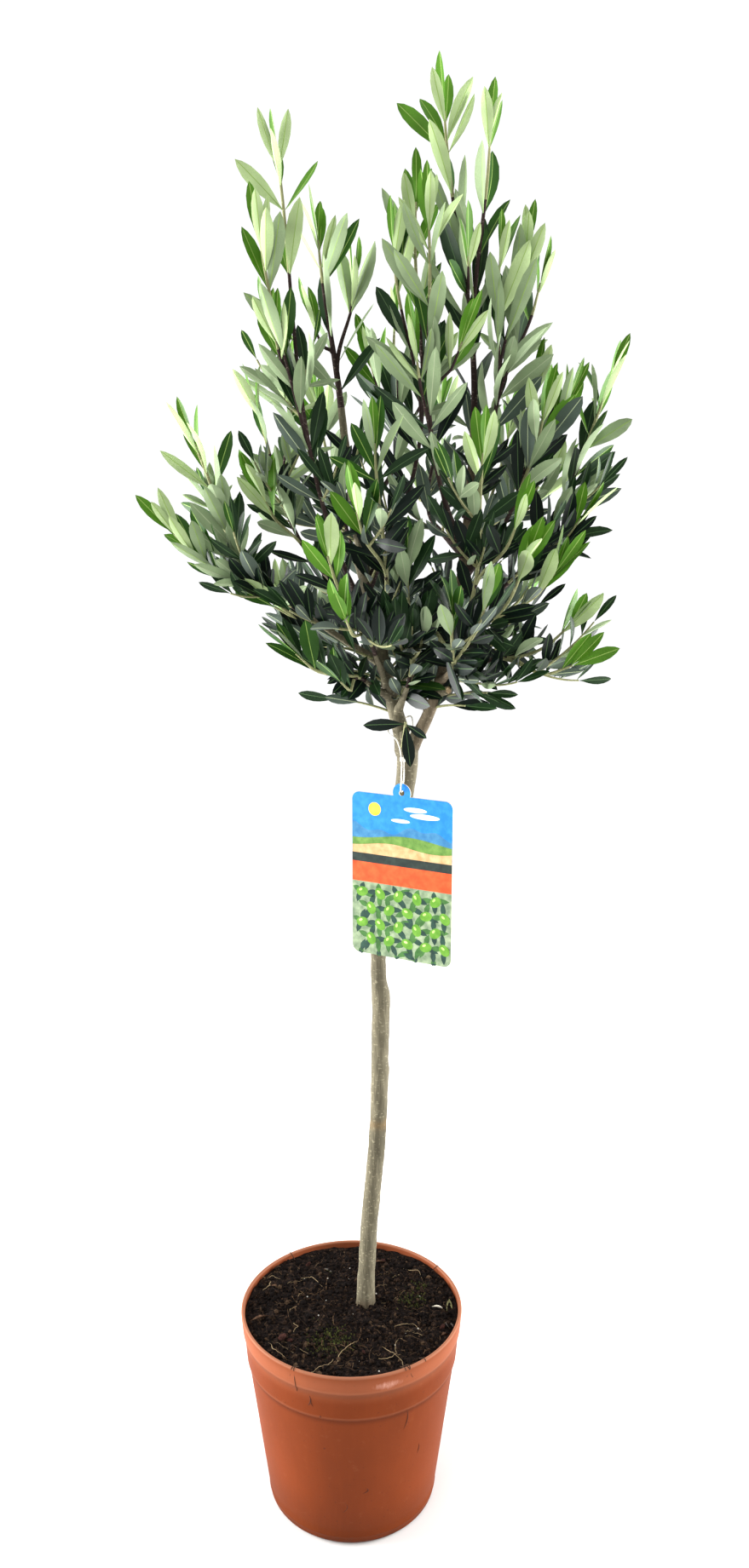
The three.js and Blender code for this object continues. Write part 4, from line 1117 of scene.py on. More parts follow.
    def dress_stem(self, stem, order):
        """The stem itself, with its pairs of leaves and its twigs."""
        length = stem.path.length
        places = np.linspace(0, 1, max(8, round(length / STEM_PITCH)))
        bar, radii = stem.path.at(places), stem.radius(places)
        cut = round((RIPE_SHARE if stem.tip[2] > RIPE_HEIGHT else YOUNG_RIPE_SHARE) * len(bar))
        self.bars.append((bar[: cut + 1], radii[: cut + 1], STEM))
        self.bars.append((bar[cut:], radii[cut:], GREEN_WOOD))
        node, place = 0, STEM_FOOT
        while place < length - STEM_END:
            share = place / length
            keys = (self.number, order, node)
            root, tangent = stem.path.at(share), stem.path.heading(share)
            tall, fresh = height_share(root), freshness(root, share)
            turn = node * math.pi / 2 + STEM_SPIN * chance(self.number, order, 7)
            if share < self.twiggy:
                few = max(tall, TWIG_SIDEWAYS * reach_share(root))
                for half in range(2):
                    if chance(*keys, 9 + half) < between(TWIG_CHANCES, few):
                        self.add_twig(root, tangent, turn + math.pi * half, fresh, (*keys, 9, half))
            lean = between([between(pair, tall) for pair in zip(*LEAF_ANGLES)], chance(*keys, 8))
            size = between(LEAF_SIZES, vigour(root))
            size *= 1 - END_SHRINK * max(0, share - SHRINK_START) / SHRINK_SPAN
            self.add_pair(root, tangent, turn, lean, size, fresh, keys)
            pitch = between(NODE_PITCHES, tall) * between((1, OUTER_PITCH), reach_share(root))
            place += pitch * self.openness
            node += 1

    def dress_limb(self, limb):
        """Twigs on the outer half of the limb itself, which fill the crown's inside."""
        length = limb.path.length
        pitch = SPUR_PITCH * max(self.openness, 1)
        self.home = all_spans([*self.stems, limb], 8)
        for node in range(round(BARE_LIMB * length / pitch), int(length / pitch)):
            share = node * pitch / length
            keys = (self.number, 88, node)
            root = limb.path.at(share)
            turn = SPIRAL * node + chance(*keys, 7)
            self.add_twig(root, limb.path.heading(share), turn, freshness(root, 0.0), keys)


class ForkGrowth(Growth):
    """The short twigs low on the two main boughs, whose leaves hang."""

    leaf_rise = -0.6
    twig_rise = -0.3

    def is_free(self, places):
        clear = nearest_bark(places, self.bark)[0].min() > LIMB_SPACE
        return in_box(places) and clear and places[:, 2].min() > FORK_FLOOR


def height_share(place):
    low, high = CROWN_HEIGHTS
    return clamped((place[2] - low) / (high - low))


def reach_share(place):
    near, far = OUTER_REACHES
    return clamped((float(reach_of(place)) - near) / (far - near))


def vigour(place):
    """How strongly the crown grows at a place, from 0 low inside to 1 on its tall and outer shoots."""
    height = height_share(place)
    return min(height + OUTER_VIGOUR * reach_share(place) * min(0.4 + 4 * height, 1), 1)


def freshness(place, share):
    """How young a leaf is, from 0 deep in the crown to 1 at the ends of its outer shoots. The tones
    that follow from it are partly the leaves' age and partly painted light: lighter high and outside, and
    darker deep in the crown as painted shade.
    """
    height = clamped((place[2] - FRESH_HEIGHT) / FRESH_SPAN)
    strength = vigour(place)
    low = reach_share(place) * (1 - height)
    end, strong_end, tall, strong, wide = FRESHENINGS
    return (end + strong_end * strength) * share**1.5 + tall * height + strong * strength + wide * low


def grow_crown(limbs, sizes):
    """Every shoot's growth, by the shoot's name."""
    bark = all_spans(limbs.values(), 16)
    shoots = {spec.shoot: shoot_stems(spec, limbs[name]) for name, spec in LIMBS.items()}
    crowd = Crowd(LEAF_SPACE)
    growths = {}
    for number, spec in enumerate(LIMBS.values()):
        others = all_spans([stem for other in shoots if other != spec.shoot for stem in shoots[other]], 6)
        growths[spec.shoot] = Growth(spec, number, shoots[spec.shoot], others, bark, crowd, sizes)
    for growth in growths.values():
        for order, stem in enumerate(growth.stems):
            growth.add_tuft(stem, stem.tip, freshness(stem.tip, 1.0), (growth.number, order, 997))
    for growth in growths.values():
        for order, stem in enumerate(growth.stems):
            growth.dress_stem(stem, order)
    for growth, name in zip(growths.values(), LIMBS):
        growth.dress_limb(limbs[name])

    spec, bough = LIMBS["left_bough"], limbs["left_bough"]
    fork = ForkGrowth(spec, len(LIMBS), shoots[spec.shoot], bark, bark, crowd, sizes)
    for order, (name, first, last, count) in enumerate(FORK_TWIGS):
        for number, share in enumerate(np.linspace(first, last, count)):
            start, tangent = limbs[name].path.at(share), limbs[name].path.heading(share)
            fork.add_twig(start, tangent, SPIRAL * number, FORK_TONE, (99, order, number))
    share, side, heading, size, tone = LONE_LEAF
    root = bough.path.at(share) + bough.radius(share) * unit(np.array(side))
    fork.add_leaf(root, unit(np.array(heading)), UP, size, tone, (99, 7), tested=False)
    growths["inner_front"].bars += fork.bars
    growths["inner_front"].leaves += fork.leaves
    return growths


def leaf_row(root, heading, face, *shape):
    """A leaf as a row of numbers: its foot, its three axes, and its shape and tone."""
    side = unit(np.cross(heading, face))
    return (*root, *heading, *side, *np.cross(side, heading), *shape)


def leaf_mesh(rows):
    """Leaves as one mesh, each a thin blade with a midrib, closed all round.
    Going round a leaf, its strips are left half, midrib, right half, then the same underneath."""
    rows = np.array(rows)
    root, heading, side, upper = (rows[:, None, i : i + 3] for i in (0, 3, 6, 9))
    length, width, curl, fold, twist, tone = (rows[:, None, i : i + 1] for i in range(12, 18))
    curl = np.where(np.abs(curl) < LEAST_CURL, LEAST_CURL, curl)
    shares, widths = np.array([(0.0, 0.0), *LEAF_STATIONS, (1.0, 0.0)]).T
    bend = curl * shares[None, :, None]
    centre = root + length * (heading * np.sin(bend) + upper * (1 - np.cos(bend))) / curl
    up = upper * np.cos(bend) - heading * np.sin(bend)
    turn = twist * shares[None, :, None]
    across = side * np.cos(turn) + up * np.sin(turn)
    up = up * np.cos(turn) - side * np.sin(turn)
    half = width / 2 * widths[None, :, None]
    rib = across * np.minimum(MIDRIB_WIDTH / 2, 0.3 * half)
    edge, lift = across * (half * np.cos(fold)), up * (half * np.sin(fold))
    deep = up * np.minimum(LEAF_THICKNESS, 0.5 * half)
    ring = [
        centre - edge + lift, centre - rib, centre + rib, centre + edge + lift, centre + rib - deep,
        centre - rib - deep,
    ]
    count, rings = len(rows), len(LEAF_STATIONS)
    corners = np.stack(ring, axis=2)[:, 1:-1].reshape(count, rings * 6, 3)
    corners = np.concatenate([corners, centre[:, :1], centre[:, -1:]], axis=1)
    here = np.arange(6)
    after = (here + 1) % 6
    quads = [number * 6 + np.stack([here, after, 6 + after, 6 + here], 1) for number in range(rings - 1)]
    last = (rings - 1) * 6
    foot = np.stack([np.full(6, rings * 6), after, here], 1)
    tip = np.stack([last + here, last + after, np.full(6, rings * 6 + 1)], 1)
    offsets = np.arange(count)[:, None, None] * (rings * 6 + 2)
    faces = (np.concatenate(quads)[None] + offsets).reshape(-1, 4).tolist()
    faces += (np.concatenate([foot, tip])[None] + offsets).reshape(-1, 3).tolist()
    mesh = bpy.data.meshes.new("leaves")
    mesh.from_pydata(corners.reshape(-1, 3), [], faces)
    tones = np.searchsorted(TONE_STEPS, tone.ravel())
    ribs, under_ribs = (np.where(tones > 1, RIB_YOUNG, old) for old in (RIB_OLD, RIB_UNDER))
    per_leaf = np.stack([tones, ribs, tones, UNDERS[tones], under_ribs, UNDERS[tones]], 1)
    numbers = np.concatenate([np.tile(per_leaf, (1, rings - 1)).ravel(), np.tile(per_leaf, (1, 2)).ravel()])
    mesh.polygons.foreach_set("material_index", numbers.astype(np.int32))
    return smoothed(mesh, SHARP_FOLD)


# Finishes


def leaf_finish(name, colour, roughness, sheen=0.0):
    """Olive leaf: leathery, with a thin wax above and a felt of silvery scales underneath. The eye sees a
    satin light on top, a dull pale underside, and a green that wanders from leaf to leaf."""
    material = new_material(name, colour, roughness, 0.13, Sheen_Weight=sheen, Sheen_Roughness=0.6)
    leaf_to_leaf = lumps(material, 0.021, detail=1.0)
    stops = ((0.3, shifted(colour, -0.24)), (0.5, colour), (0.7, shifted(colour, 0.24)))
    drift = add_node(material, RAMP, stops=stops, Fac=leaf_to_leaf)
    grain = lumps(material, 0.0012, detail=2.0)
    tone = add_node(material, MIX, 2, COLOURS, _0=grain, _6=drift, _7=shifted(colour, -0.12))
    return dressed(material, tone, grain, 0.00002)


def rib_finish(name, code):
    """Midrib: the pale, smooth vein that stands out down the middle of a leaf."""
    tone = linear(code)
    return mottled(name, tone, ((0.3, shifted(tone, -0.2)), (0.7, tone)), 0.009, 0.55, detail=1.0)


def leaf_finishes(colours):
    """The finishes in the order of the leaves' material numbers."""
    uppers = (("old", 0.36), ("mature", 0.38), ("fresh", 0.4), ("young", 0.44))
    unders = (("old", 0.72), ("mature", 0.74), ("young", 0.74))
    made = []
    for age, dull in uppers:
        made.append(leaf_finish(f"{age} leaf upper side", getattr(colours, f"{age}_leaf"), dull))
    for age, dull in unders:
        made.append(leaf_finish(f"{age} leaf underside", getattr(colours, f"{age}_under"), dull, 0.15))
    ribs = (("pale midrib", "#8fae57"), ("mature midrib", "#46623a"), ("midrib underneath", "#a9b792"))
    return made + [rib_finish(name, code) for name, code in ribs]


def bark_finish(name, colour, fleck, is_marked=False):
    """Young olive bark: thin, smooth and dull, grown in fine upright streaks. The eye sees grey-olive with
    darker patches, a grain of pale breathing pores and, on the trunk, a rust-coloured rub."""
    material = new_material(name, colour, 0.82, 0.12)
    patches = lumps(material, 0.016, (1, 1, 2.4), 4.0, 0.6)
    stops = ((0.3, shifted(colour, -0.42)), (0.52, colour), (0.72, shifted(colour, 0.28)))
    tone = add_node(material, RAMP, stops=stops, Fac=patches)
    streaks = lumps(material, 0.0016, (1, 1, 7))
    tone = veiled(material, streaks, (0.42, 0.62), 0.55, tone, shifted(colour, -0.38))
    pores = lumps(material, 0.0024, (1.3, 1.3, 0.7), 1.0)
    tone = veiled(material, pores, (0.62, 0.7), 0.42, tone, linear(fleck))
    for mark, code in (("rub", "#735b3a"), ("earth", "#4a3f30")) if is_marked else ():
        mask = add_node(material, "ShaderNodeAttribute", "Fac", {"attribute_name": mark})
        tone = add_node(material, MIX, 2, COLOURS, _0=mask, _6=tone, _7=linear(code))
    relief = add_node(material, MATH, 0, {"operation": "ADD"}, _0=patches, _1=streaks)
    return dressed(material, tone, relief, 0.0006)


def cut_finish():
    """Cut wood: pale and dry where a branch was pruned."""
    stops = ((0.35, linear("#6d5a40")), (0.65, linear("#a08c6b")))
    return mottled("cut wood", linear("#8f7c5e"), stops, 0.0011, 0.8, detail=2.0)


def wood_finishes(colours):
    """The finishes in the order of the wood's material numbers."""
    return [
        bark_finish("olive bark", colours.bark, "#a59e83", is_marked=True),
        bark_finish("ripening stem bark", colours.stem, "#7d6f66"),
        bark_finish("green twig bark", colours.green_wood, "#c2c49c"),
        cut_finish(),
        bark_finish("weathered bark", colours.brown_bark, "#8f846f"),
    ]


def pot_finish(base):
    """Injection-moulded polypropylene: matt with a faint grain, flow marks down the wall, painted shade under
    both steps with painted highlights over them and along the lip, a painted reflection on the rim, a paler
    rim band, a darker foot, and earth splashed about its foot."""
    material = new_material("moulded polypropylene", base, 0.55, 0.07)
    stops = ((0.3, shifted(base, -0.12)), (0.5, base), (0.72, shifted(base, 0.12)))
    tone = add_node(material, RAMP, stops=stops, Fac=lumps(material, 0.06, (1, 1, 1.6)))
    flow = lumps(material, 0.0035, (1, 1, 16), 2.0)
    tone = veiled(material, flow, (0.5, 0.72), 0.2, tone, shifted(base, 0.25))
    dust = lumps(material, 0.011, (1, 1, 0.8), 6.0, 0.7)
    tone = veiled(material, dust, (0.6, 0.85), 0.18, tone, linear("#a5684a"))
    specks = lumps(material, 0.0022, detail=1.0)
    tone = veiled(material, specks, (0.74, 0.76), 0.8, tone, linear("#4a2517"))

    place = add_node(material, "ShaderNodeTexCoord", "Object")
    height = add_node(material, "ShaderNodeSeparateXYZ", "Z", Vector=place)
    # Bands by height from POT_BANDS: painted shade under both steps, painted highlights over them and along
    # the lip, a paler rim band and a darker foot
    for level, spread, depth, code in POT_BANDS:
        off = add_node(material, MATH, 0, {"operation": "SUBTRACT"}, _0=height, _1=level)
        away = add_node(material, MATH, 0, {"operation": "ABSOLUTE"}, _0=off)
        soft = {"interpolation_type": "SMOOTHSTEP"}
        band = add_node(material, RANGE, 0, soft, _0=away, _1=0.0, _2=spread, _3=depth, _4=0.0)
        tone = add_node(material, MIX, 2, COLOURS, _0=band, _6=tone, _7=linear(code))

    # A painted reflection on the rim: a pale patchy spot that stands in for light shining off the plastic
    shift = add_node(material, VECTORS, 0, {"operation": "SUBTRACT"}, _0=place, _1=REFLECTION_PLACE)
    squat = add_node(material, MAPPING, Vector=shift, Scale=(1, 1, 3.2))
    reach = add_node(material, VECTORS, "Value", {"operation": "LENGTH"}, _0=squat)
    rub = add_node(material, RANGE, _0=reach, _1=REFLECTION_REACH[0], _2=REFLECTION_REACH[1], _3=1.5, _4=0.0)
    patches = lumps(material, 0.0042, (0.6, 0.6, 1.8), 5.0, 0.75)
    painted_reflection = add_node(material, MATH, 0, {"operation": "MULTIPLY"}, _0=rub, _1=patches)
    tone = veiled(material, painted_reflection, (0.4, 0.95), 0.55, tone, linear("#cf9d8c"))
    splash = add_node(material, RANGE, _0=height, _1=0.0, _2=SPLASH_HEIGHT, _3=1.0, _4=0.0)
    patchy = add_node(material, MATH, 0, {"operation": "MULTIPLY"}, _0=splash, _1=dust)
    tone = veiled(material, patchy, (0.3, 0.55), 0.7, tone, linear("#45271a"))
    return dressed(material, tone, lumps(material, 0.0007, detail=2.0), 0.00008)


def mark_finish():
    """Scratches: dark hair-thin lines where a root or a nail has marked the wall."""
    stops = ((0.3, linear("#2c150d")), (0.7, linear("#552b1b")))
    return mottled("dark scratch", linear("#4a2216"), stops, 0.004, 0.8)


def compost_finish(name, dark, light, size=0.0032):
    """Peat-free compost: crumbs of rotted bark and fibre, moist and nearly black, with lighter dry grains."""
    stops = ((0.35, shifted(dark, -0.6)), (0.52, dark), (0.7, light))
    return mottled(name, dark, stops, size, 0.94, 0.06, detail=8.0, rough=0.75, height=0.0016)


def litter_finish(name, code, light):
    """Dry litter on the compost: fibres, perlite, moss and dead leaf."""
    stops = ((0.32, linear(code)), (0.68, linear(light)))
    return mottled(name, linear(code), stops, 0.0026, 0.85, 0.1, height=0.0004)


def print_finish(name, code, light):
    """Offset print under a satin coat: flat ink with the faint mottle of coated board."""
    stops = ((0.35, linear(code)), (0.7, linear(light)))
    return mottled(name, linear(code), stops, 0.006, 0.34, detail=4.0, Coat_Weight=0.25, Coat_Roughness=0.3)


def string_finish():
    """Cotton twine: two soft white plies with fine fibres along them."""
    stops = ((0.3, linear("#c2beb0")), (0.6, linear("#f2efe8")))
    return mottled("cotton twine", linear("#e8e5dc"), stops, 0.0004, 0.9, height=0.0001, Sheen_Weight=0.3)


# Pieces


class OLIVE_OT_stage(bpy.types.Operator):
    """Pale floor, soft light and the camera at the photograph's angle"""

    bl_idname = "olive.stage"
    bl_label = "Stage"

    def execute(self, context):
        bm = bmesh.new()
        bmesh.ops.create_circle(bm, cap_ends=True, radius=FLOOR_RADIUS, segments=96)
        floor = placed("floor", mesh_of(bm))
        floor.data.materials.append(new_material("pale floor", context.scene.olive_colours.floor, 0.9))
        floor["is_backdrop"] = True

        world = bpy.data.worlds.new("studio")
        world.use_nodes = True
        world.node_tree.nodes["Background"].inputs["Color"].default_value = (1, 1, 1, 1)
        world.node_tree.nodes["Background"].inputs["Strength"].default_value = WORLD_LIGHT
        context.scene.world = world
        for name, place, aim, size, power in LAMPS:
            data = bpy.data.lights.new(name, "AREA")
            data.shape = "DISK"
            data.size = size
            data.energy = power
            lamp = placed(name, data)
            lamp.location = place
            lamp.visible_camera = False
            lamp.rotation_euler = (Vector(aim) - Vector(place)).to_track_quat("-Z", "Y").to_euler()

        data = bpy.data.cameras.new("camera")
        data.lens = CAMERA_LENS
        data.sensor_width = CAMERA_SENSOR
        camera = placed("camera", data)
        camera.location = CAMERA_PLACE
        camera.rotation_euler = (math.radians(90 - CAMERA_DROP), 0, 0)
        context.scene.camera = camera
        context.scene.view_settings.view_transform = "Standard"
        return {"FINISHED"}


def eased(low, high):
    """A small step in a moulded wall, softened at both ends."""
    shares = np.linspace(0, 1, 6)
    outs = shares**2 * (3 - 2 * shares)
    return list(zip(between((low[0], high[0]), outs), between((low[1], high[1]), shares)))


def pot_profile():
    """The wall from the middle of the underside, up outside, over the lip and down inside to the floor."""
    line = [*POT_UNDERSIDE, (POT_BASE_RADIUS - POT_BASE_ROUND, 0.0)]
    for turn in np.linspace(0, math.pi / 2, 8)[1:]:
        inwards, upwards = POT_BASE_ROUND * (1 - math.sin(turn)), POT_BASE_ROUND * (1 - math.cos(turn))
        line.append((POT_BASE_RADIUS - inwards, upwards))

    def wall(height):
        share = (height - POT_BASE_ROUND) / (COLLAR_HEIGHT - POT_BASE_ROUND)
        return POT_BASE_RADIUS + (COLLAR_RADIUS - POT_BASE_RADIUS) * share

    line += [(wall(height) + out, height) for height, out in FOOT_BEAD]
    line += [(wall(height), height) for height in np.linspace(0.02, COLLAR_HEIGHT - 0.0012, 12)]
    slope = (RIM_RADIUS - STEP - COLLAR_RADIUS - STEP) / (POT_HEIGHT - COLLAR_HEIGHT)
    rim_foot = COLLAR_RADIUS + STEP + slope * (RIM_HEIGHT - COLLAR_HEIGHT)
    line += eased((COLLAR_RADIUS, COLLAR_HEIGHT), (COLLAR_RADIUS + STEP, COLLAR_HEIGHT + STEP))
    line += [(COLLAR_RADIUS + STEP + slope * (h - COLLAR_HEIGHT), h) for h in np.linspace(0.154, 0.175, 4)]
    line += eased((rim_foot, RIM_HEIGHT), (rim_foot + STEP, RIM_HEIGHT + STEP))
    line += [(rim_foot + STEP + 0.0006, 0.186), (RIM_RADIUS - 0.0003, 0.193)]
    crest, middle = RIM_RADIUS - LIP / 2, POT_HEIGHT - LIP / 2
    for turn in np.linspace(0, math.pi, 13):
        line.append((crest + LIP / 2 * math.cos(turn), middle + LIP / 2 * math.sin(turn)))
    line += [(rim_foot + STEP - POT_WALL, 0.19), (rim_foot - POT_WALL, 0.178)]
    line += [(COLLAR_RADIUS + STEP - POT_WALL, 0.151), (COLLAR_RADIUS - POT_WALL, 0.149)]
    line += [(POT_BASE_RADIUS - POT_WALL - POT_FLOOR, POT_FLOOR), (0.0, POT_FLOOR)]
    return line


def wall_radius(heights):
    """The radius of the pot's outside between its foot and its rim."""
    return np.interp(heights, *zip(*((height, radius) for radius, height in pot_profile()[WALL_PART])))


class OLIVE_OT_pot(bpy.types.Operator):
    """Nursery pot with its lip, steps and drain holes"""

    bl_idname = "olive.pot"
    bl_label = "Pot"

    def execute(self, context):
        shell = mesh_of(spun(pot_profile(), POT_SIDES))
        pot = finished("pot_shell", shell, [pot_finish(context.scene.olive_colours.pot)], "pot", "pot")
        drills = bmesh.new()
        for hole in range(DRAIN_HOLES):
            angle = (hole + 0.5) * 2 * math.pi / DRAIN_HOLES
            place = Vector((DRAIN_CIRCLE * math.cos(angle), DRAIN_CIRCLE * math.sin(angle), 0))
            bmesh.ops.create_cone(
                drills, cap_ends=True, segments=24, radius1=DRAIN_RADIUS, radius2=DRAIN_RADIUS,
                depth=6 * POT_FLOOR, matrix=Matrix.Translation(place),
            )
        cutter = placed("drills", mesh_of(drills))
        bore = pot.modifiers.new("holes", "BOOLEAN")
        bore.object = cutter
        bore.solver = "EXACT"
        bored = bpy.data.meshes.new_from_object(pot.evaluated_get(context.evaluated_depsgraph_get()))
        pot.modifiers.clear()
        bpy.data.objects.remove(cutter)
        pot.data = smoothed(bored, SHARP_POT)

        scratches = []
        for degrees, low, high, drift, width in SCRATCHES:
            heights = np.linspace(low, high, 14)
            angles = np.radians(degrees + drift * np.sin(np.linspace(0, 2.6, 14)))
            line = round_axis(wall_radius(heights), angles, heights)
            scratches.append((line, width * np.sin(np.linspace(0.25, math.pi - 0.1, 14)), 0))
        finished("pot_scratches", tubes(scratches, 6), [mark_finish()], "pot")
        return {"FINISHED"}


def ground_height(reach):
    """The compost's height, level round the trunk and falling to the pot's wall."""
    fall = max(0.0, reach - COMPOST_LEVEL_RADIUS) / (COMPOST_RADIUS - COMPOST_LEVEL_RADIUS)
    return COMPOST_HEIGHT - (COMPOST_HEIGHT - COMPOST_EDGE_HEIGHT) * fall


def hummock(place, relief):
    """How far the compost stands above or below its mean height."""
    flat = Vector((place[0], place[1], 0.0))
    return relief * sum(share * noise.noise(flat / width) for share, width in HUMMOCKS) - HUMMOCK_DROP


def rim_route(drop):
    """Radii and heights of a line from the compost over the lip and down the wall."""
    crest, middle = RIM_RADIUS - LIP / 2, POT_HEIGHT - LIP / 2
    route = [(COMPOST_RADIUS - 0.006, COMPOST_EDGE_HEIGHT + 0.001), (COMPOST_RADIUS - 0.002, 0.1965)]
    for turn in np.linspace(0.8 * math.pi, 0.1 * math.pi, 6):
        reach = LIP / 2 + RIM_ROOT_GAPS[0]
        route.append((crest + reach * math.cos(turn), middle + reach * math.sin(turn)))
    for height in np.linspace(RIM_ROOT_TOP, RIM_ROOT_TOP - drop, 8):
        route.append((wall_radius(height) + RIM_ROOT_GAPS[1], height))
    return np.array(route).T


def near_trunk(line):
    return bool((np.linalg.norm(line[:, :2] - TRUNK_STATIONS[0][1:3], axis=1) < TRUNK_ROOM).any())


def on_ground(dice, level, count):
    """Places at random on the compost."""
    reach = (COMPOST_RADIUS - COMPOST_MARGIN) * np.sqrt(dice.random(count))
    places = round_axis(reach, dice.random(count) * 2 * math.pi, np.zeros(count))
    places[:, 2] = [level(place) for place in places]
    return places


def fill_pot(dark, relief):
    tops = np.linspace(COMPOST_RADIUS - 0.0025, 0.0, COMPOST_RINGS)
    bm = spun([*COMPOST_FOOT, *((reach, ground_height(reach)) for reach in tops)], COMPOST_SIDES)
    bmesh.ops.remove_doubles(bm, verts=bm.verts, dist=1e-6)
    for vert in bm.verts:
        if vert.co.z > COMPOST_EDGE_HEIGHT - 0.0005:
            vert.co.z += hummock(vert.co, relief)
    earth = compost_finish("moist compost", dark, linear("#4a382c"))
    finished("compost", smoothed(mesh_of(bm)), [earth], "soil", "soil")


def strew_crumbs(dice, level, count, dark):
    places = on_ground(dice, level, count)
    widths = CRUMB_WIDTHS[0] + CRUMB_WIDTHS[1] * dice.random(count) ** 3
    places[:, 2] += CRUMB_LIFT * widths
    stretch = dice.uniform(*CRUMB_SHAPES, (count, 3)) * widths[:, None]
    kinds = dice.choice(4, count, p=CRUMB_KINDS)
    stretch[kinds == 3] = np.minimum(stretch[kinds == 3], PERLITE_SIZE)
    crumbs = scattered(ball(), places, random_turns(dice, count), stretch, kinds)
    finished("crumbs", crumbs, [
        compost_finish("dark crumb", shifted(dark, -0.35), dark, CRUMB_GRAIN),
        compost_finish("brown crumb", linear("#291e17"), linear("#4e3b2e"), CRUMB_GRAIN),
        compost_finish("dry crumb", linear("#453528"), linear("#6f5a45"), CRUMB_GRAIN),
        litter_finish("perlite grain", "#b3aea3", "#d9d5cc"),
    ], "soil")


def strew_fibres(dice, level, count):
    """Loose fibres, the long pale roots, and the roots that hang over the rim."""
    fibres = []
    for start in on_ground(dice, level, count):
        turn = dice.random() * 2 * math.pi
        length = FIBRE_LENGTHS[0] + FIBRE_LENGTHS[1] * dice.random() ** 2
        shares = np.linspace(0, 1, 9)
        angles = turn + dice.normal(0, FIBRE_BEND) * shares
        line = start + np.cumsum(round_axis(1, angles, np.zeros(9)) * length / 8, axis=0)
        reach = np.linalg.norm(line[:, :2], axis=1).max()
        if reach > COMPOST_RADIUS - COMPOST_MARGIN or near_trunk(line):
            continue
        for place, share in zip(line, shares):
            place[2] = level(place)
            place[2] += FIBRE_LIFTS[0] + FIBRE_LIFTS[1] * math.sin(math.pi * share) * dice.random() ** 2
        radius = between(FIBRE_RADII, dice.random() ** 2)
        fibres.append((line, radius * (1 - 0.6 * shares), int(dice.choice(3, p=FIBRE_KINDS))))
    for x, y, end_x, end_y, bow in LONG_FIBRES:
        shares = np.linspace(0, 1, 17)
        span = np.array([end_x - x, end_y - y])
        aside = unit(np.array([-span[1], span[0]]))
        wander = bow * np.sin(math.pi * shares) + 0.0012 * np.sin(9 * shares + 40 * x)
        flat = np.array([x, y]) + np.outer(shares, span) + np.outer(wander, aside)
        heights = [level(spot) for spot in flat] + (0.0011 + 0.002 * np.sin(math.pi * shares) ** 2)
        fibres.append((np.column_stack([flat, heights]), LONG_FIBRE_RADIUS * (1 - 0.5 * shares), 0))
    for degrees, drop, drift in RIM_ROOTS:
        radii, heights = rim_route(drop)
        angles = np.radians(degrees + drift * np.linspace(0, 1, len(radii)) ** 2)
        line = round_axis(radii, angles, heights)
        fibres.append((line, np.linspace(*RIM_ROOT_RADII, len(radii)), 2))
    finished("root_fibres", tubes(fibres, 4), [
        litter_finish("pale root fibre", "#7d6a50", "#a8936f"),
        litter_finish("brown root fibre", "#54402e", "#7a6148"),
        litter_finish("dark root fibre", "#2b201a", "#463528"),
    ], "soil")


def grow_moss(dice, level):
    tufts = []
    for x, y, spread in MOSS_SPOTS:
        count = round(MOSS_DENSITY * spread)
        spots = np.column_stack([dice.normal(x, spread / 2, count), dice.normal(y, spread / 2, count)])
        for spot in spots[np.linalg.norm(spots, axis=1) < COMPOST_RADIUS - MOSS_MARGIN]:
            tufts.append((*spot, level(spot) + MOSS_LIFT))
    count = len(tufts)
    heights = dice.uniform(*MOSS_SIZES, (count, 1)) * MOSS_SHAPE
    upright = np.tile(np.eye(3), (count, 1, 1))
    moss = scattered(ball(), np.array(tufts), upright, heights, dice.choice(2, count))
    finished("moss", moss, [
        litter_finish("moss", "#20240f", "#343a19"), litter_finish("pale moss", "#32351a", "#53562b"),
    ], "soil")


def drop_chunks(dice, level):
    middles = np.array([(x, y, level((x, y)) + size / 3) for x, y, size in CHUNKS])
    bulk = np.array([size * CHUNK_SHAPE for *_, size in CHUNKS])
    chunks = scattered(ball(), middles, random_turns(dice, len(CHUNKS)), bulk, np.zeros(len(CHUNKS)))
    rotted = compost_finish("composted bark", linear("#35201c"), linear("#5d3a31"))
    finished("bark_chunks", chunks, [rotted], "soil")


def drop_leaves(level):
    leaves = []
    for x, y, degrees, length, width, rise, tone in LITTER:
        root, heading = (x, y, level((x, y)) + LITTER_LIFT), unit(np.array([*bearing(degrees), rise]))
        leaves.append(leaf_row(root, heading, UP, length, width, *LITTER_SHAPE, tone))
    brown = litter_finish("dead leaf", "#3d2a20", "#6b513e")
    olive = litter_finish("dry olive leaf", "#5d5d3c", "#8a865f")
    grey = litter_finish("skeleton leaf", "#4b4744", "#77706a")
    white = litter_finish("bleached leaf", "#c9c1ae", "#e8e2d2")
    kinds = [brown, grey, olive, white, brown, olive, white, olive, brown, olive]
    finished("fallen_leaves", leaf_mesh(leaves), kinds, "soil")


class OLIVE_OT_compost(bpy.types.Operator):
    """Compost with its crumbs, fibres, moss and litter"""

    bl_idname = "olive.compost"
    bl_label = "Compost"

    def execute(self, context):
        sizes = context.scene.olive_sizes
        dark = context.scene.olive_colours.compost
        dice = np.random.default_rng(11)

        def level(place):
            """The compost's height at a place, hummocks and all."""
            return ground_height(math.hypot(place[0], place[1])) + hummock(place, sizes.compost_relief)

        fill_pot(dark, sizes.compost_relief)
        strew_crumbs(dice, level, sizes.crumbs, dark)
        strew_fibres(dice, level, sizes.fibres)
        grow_moss(dice, level)
        drop_chunks(dice, level)
        drop_leaves(level)
        return {"FINISHED"}


